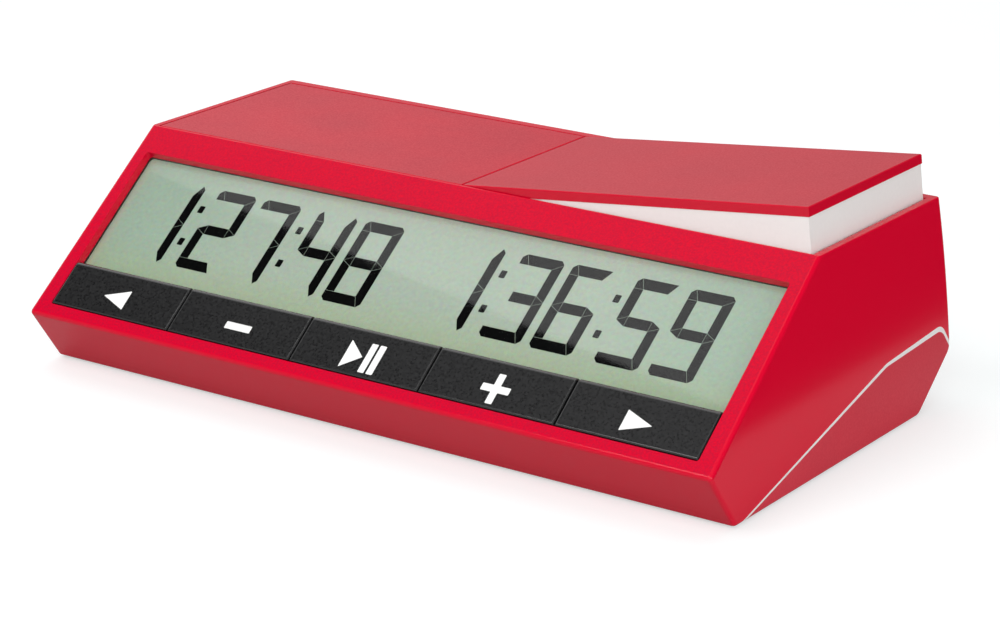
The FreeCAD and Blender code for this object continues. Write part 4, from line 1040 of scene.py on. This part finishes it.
# The table shows pure white, as in a lit studio, but throws back only the light that falls on it.
TABLE_GLOW = 0.52
seen = add(light_table.node_tree, "ShaderNodeLightPath")
shine = add(
    light_table.node_tree,
    "ShaderNodeMath",
    {1: TABLE_GLOW},
    {0: seen.outputs["Is Camera Ray"]},
    operation="MULTIPLY",
)
light_table.node_tree.links.new(shine.outputs[0], table_skin.inputs["Emission Strength"])
table_mesh.materials.append(light_table)


lens_front = furthest("display_lens", OUTWARD)


def lens_point(x, below):
    """A point on the lens, x mm from its middle and below its top edge by that many mm."""
    return Vector((x * MM, 0, 0)) + UP_SLOPE * (lens_top - below * MM) + OUTWARD * lens_front


def soft_light(name, place, towards, wide, tall, glow, edge=None):
    """A rectangular light at place that faces towards, glow times as bright as white paper.
    edge is the direction of its wide side, which is level if it isn't given."""
    light = bpy.data.lights.new(name, "AREA")
    light.shape = "RECTANGLE"
    light.size, light.size_y = wide, tall
    light.energy = glow * math.pi * wide * tall
    lamp = bpy.data.objects.new(name, light)
    bpy.context.scene.collection.objects.link(lamp)
    back = (place - towards).normalized()
    side = (edge or UP.cross(back)).normalized()
    side = (side - back * side.dot(back)).normalized()
    turn = Matrix((side, back.cross(side), back)).transposed().to_4x4()
    lamp.matrix_world = Matrix.Translation(place) @ turn
    lamp.visible_camera = False
    return lamp


lens_middle = lens_point(0, 19)
lens_plane = OUTWARD.dot(lens_middle)
mirror_eye = EYE - OUTWARD * 2 * (EYE.dot(OUTWARD) - lens_plane)
# The reflection's lower edge crosses the lens from near its top left to near its bottom right.
slant_left, slant_right = lens_point(-105, 4.1), lens_point(103, 36.4)
slant_normal = (slant_left - mirror_eye).cross(slant_right - mirror_eye).normalized()
if slant_normal.dot(lens_point(0, 0) - mirror_eye) < 0:
    slant_normal = -slant_normal
look = (lens_middle - mirror_eye).normalized()
LIGHT_AWAY, LIGHT_WIDE, LIGHT_TALL = 1.0, 1.8, 1.4
edge_run = slant_normal.cross(look).normalized()
edge_middle = lens_middle + look * LIGHT_AWAY
edge_middle -= slant_normal * slant_normal.dot(edge_middle - mirror_eye)
lit_side = look.cross(edge_run).normalized()
if lit_side.dot(slant_normal) < 0:
    lit_side = -lit_side
overhead = edge_middle + lit_side * LIGHT_TALL / 2
soft_light("overhead", overhead, overhead - look, LIGHT_WIDE, LIGHT_TALL, 0.95, edge=edge_run)
soft_light("front_right", Vector((0.62, -1.0, 0.66)), lens_middle, 0.7, 0.7, 3.2)
soft_light("right", Vector((1.3, -0.35, 0.42)), lens_middle, 0.7, 0.7, 3.6)
soft_light("front_top", Vector((-0.28, -0.84, 1.08)), lens_middle, 0.7, 0.7, 5.0)


# A black flag beside the case keeps the white table out of its side, except low down.
FLAG_AWAY, FLAG_HIGH, FLAG_LONG = 0.035, 0.4, 0.9
flag_mesh = bpy.data.meshes.new("black_flag")
flag_x, flag_y = cad_high.x + FLAG_AWAY, cad_low.y
flag_mesh.from_pydata(
    [
        (flag_x, flag_y, 0.0),
        (flag_x, flag_y + FLAG_LONG, 0.0),
        (flag_x, flag_y + FLAG_LONG, FLAG_HIGH),
        (flag_x, flag_y, FLAG_HIGH),
    ],
    [],
    [(0, 1, 2, 3)],
)
flag = bpy.data.objects.new("black_flag", flag_mesh)
bpy.context.scene.collection.objects.link(flag)
flag_cloth = moulded("cloth_black_flag", "#050505", "#080808", 2.0 * MM, 0.0, (0.9, 0.95), specular=0.0)
flag_mesh.materials.append(flag_cloth)
# It is there for mirrored light only, so nothing else of it is seen.
flag.visible_camera = flag.visible_diffuse = flag.visible_transmission = flag.visible_shadow = False

# The walls are pale, except round the direction that the lens mirrors, which is nearly black.
WALL_PALE, WALL_DARK = 0.42, 0.02
DARK_INSIDE, DARK_OUTSIDE = math.radians(20), math.radians(38)
world = bpy.data.worlds.new("white_studio")
bpy.context.scene.world = world
world.use_nodes = True
sky = world.node_tree
sky.nodes.clear()
ray = add(sky, "ShaderNodeTexCoord")
facing = add(
    sky, "ShaderNodeVectorMath", {1: tuple(look)}, {0: ray.outputs["Generated"]}, operation="DOT_PRODUCT"
)
dark = add(
    sky,
    "ShaderNodeMapRange",
    {
        "From Min": math.cos(DARK_OUTSIDE),
        "From Max": math.cos(DARK_INSIDE),
        "To Min": WALL_PALE,
        "To Max": WALL_DARK,
    },
    {"Value": facing.outputs["Value"]},
    interpolation_type="SMOOTHSTEP",
)
glow = add(sky, "ShaderNodeBackground", {"Color": (1.0, 1.0, 1.0, 1.0)}, {"Strength": dark.outputs["Result"]})
add(sky, "ShaderNodeOutputWorld", (), {"Surface": glow.outputs["Background"]})
bpy.context.scene.view_settings.view_transform = "Standard"
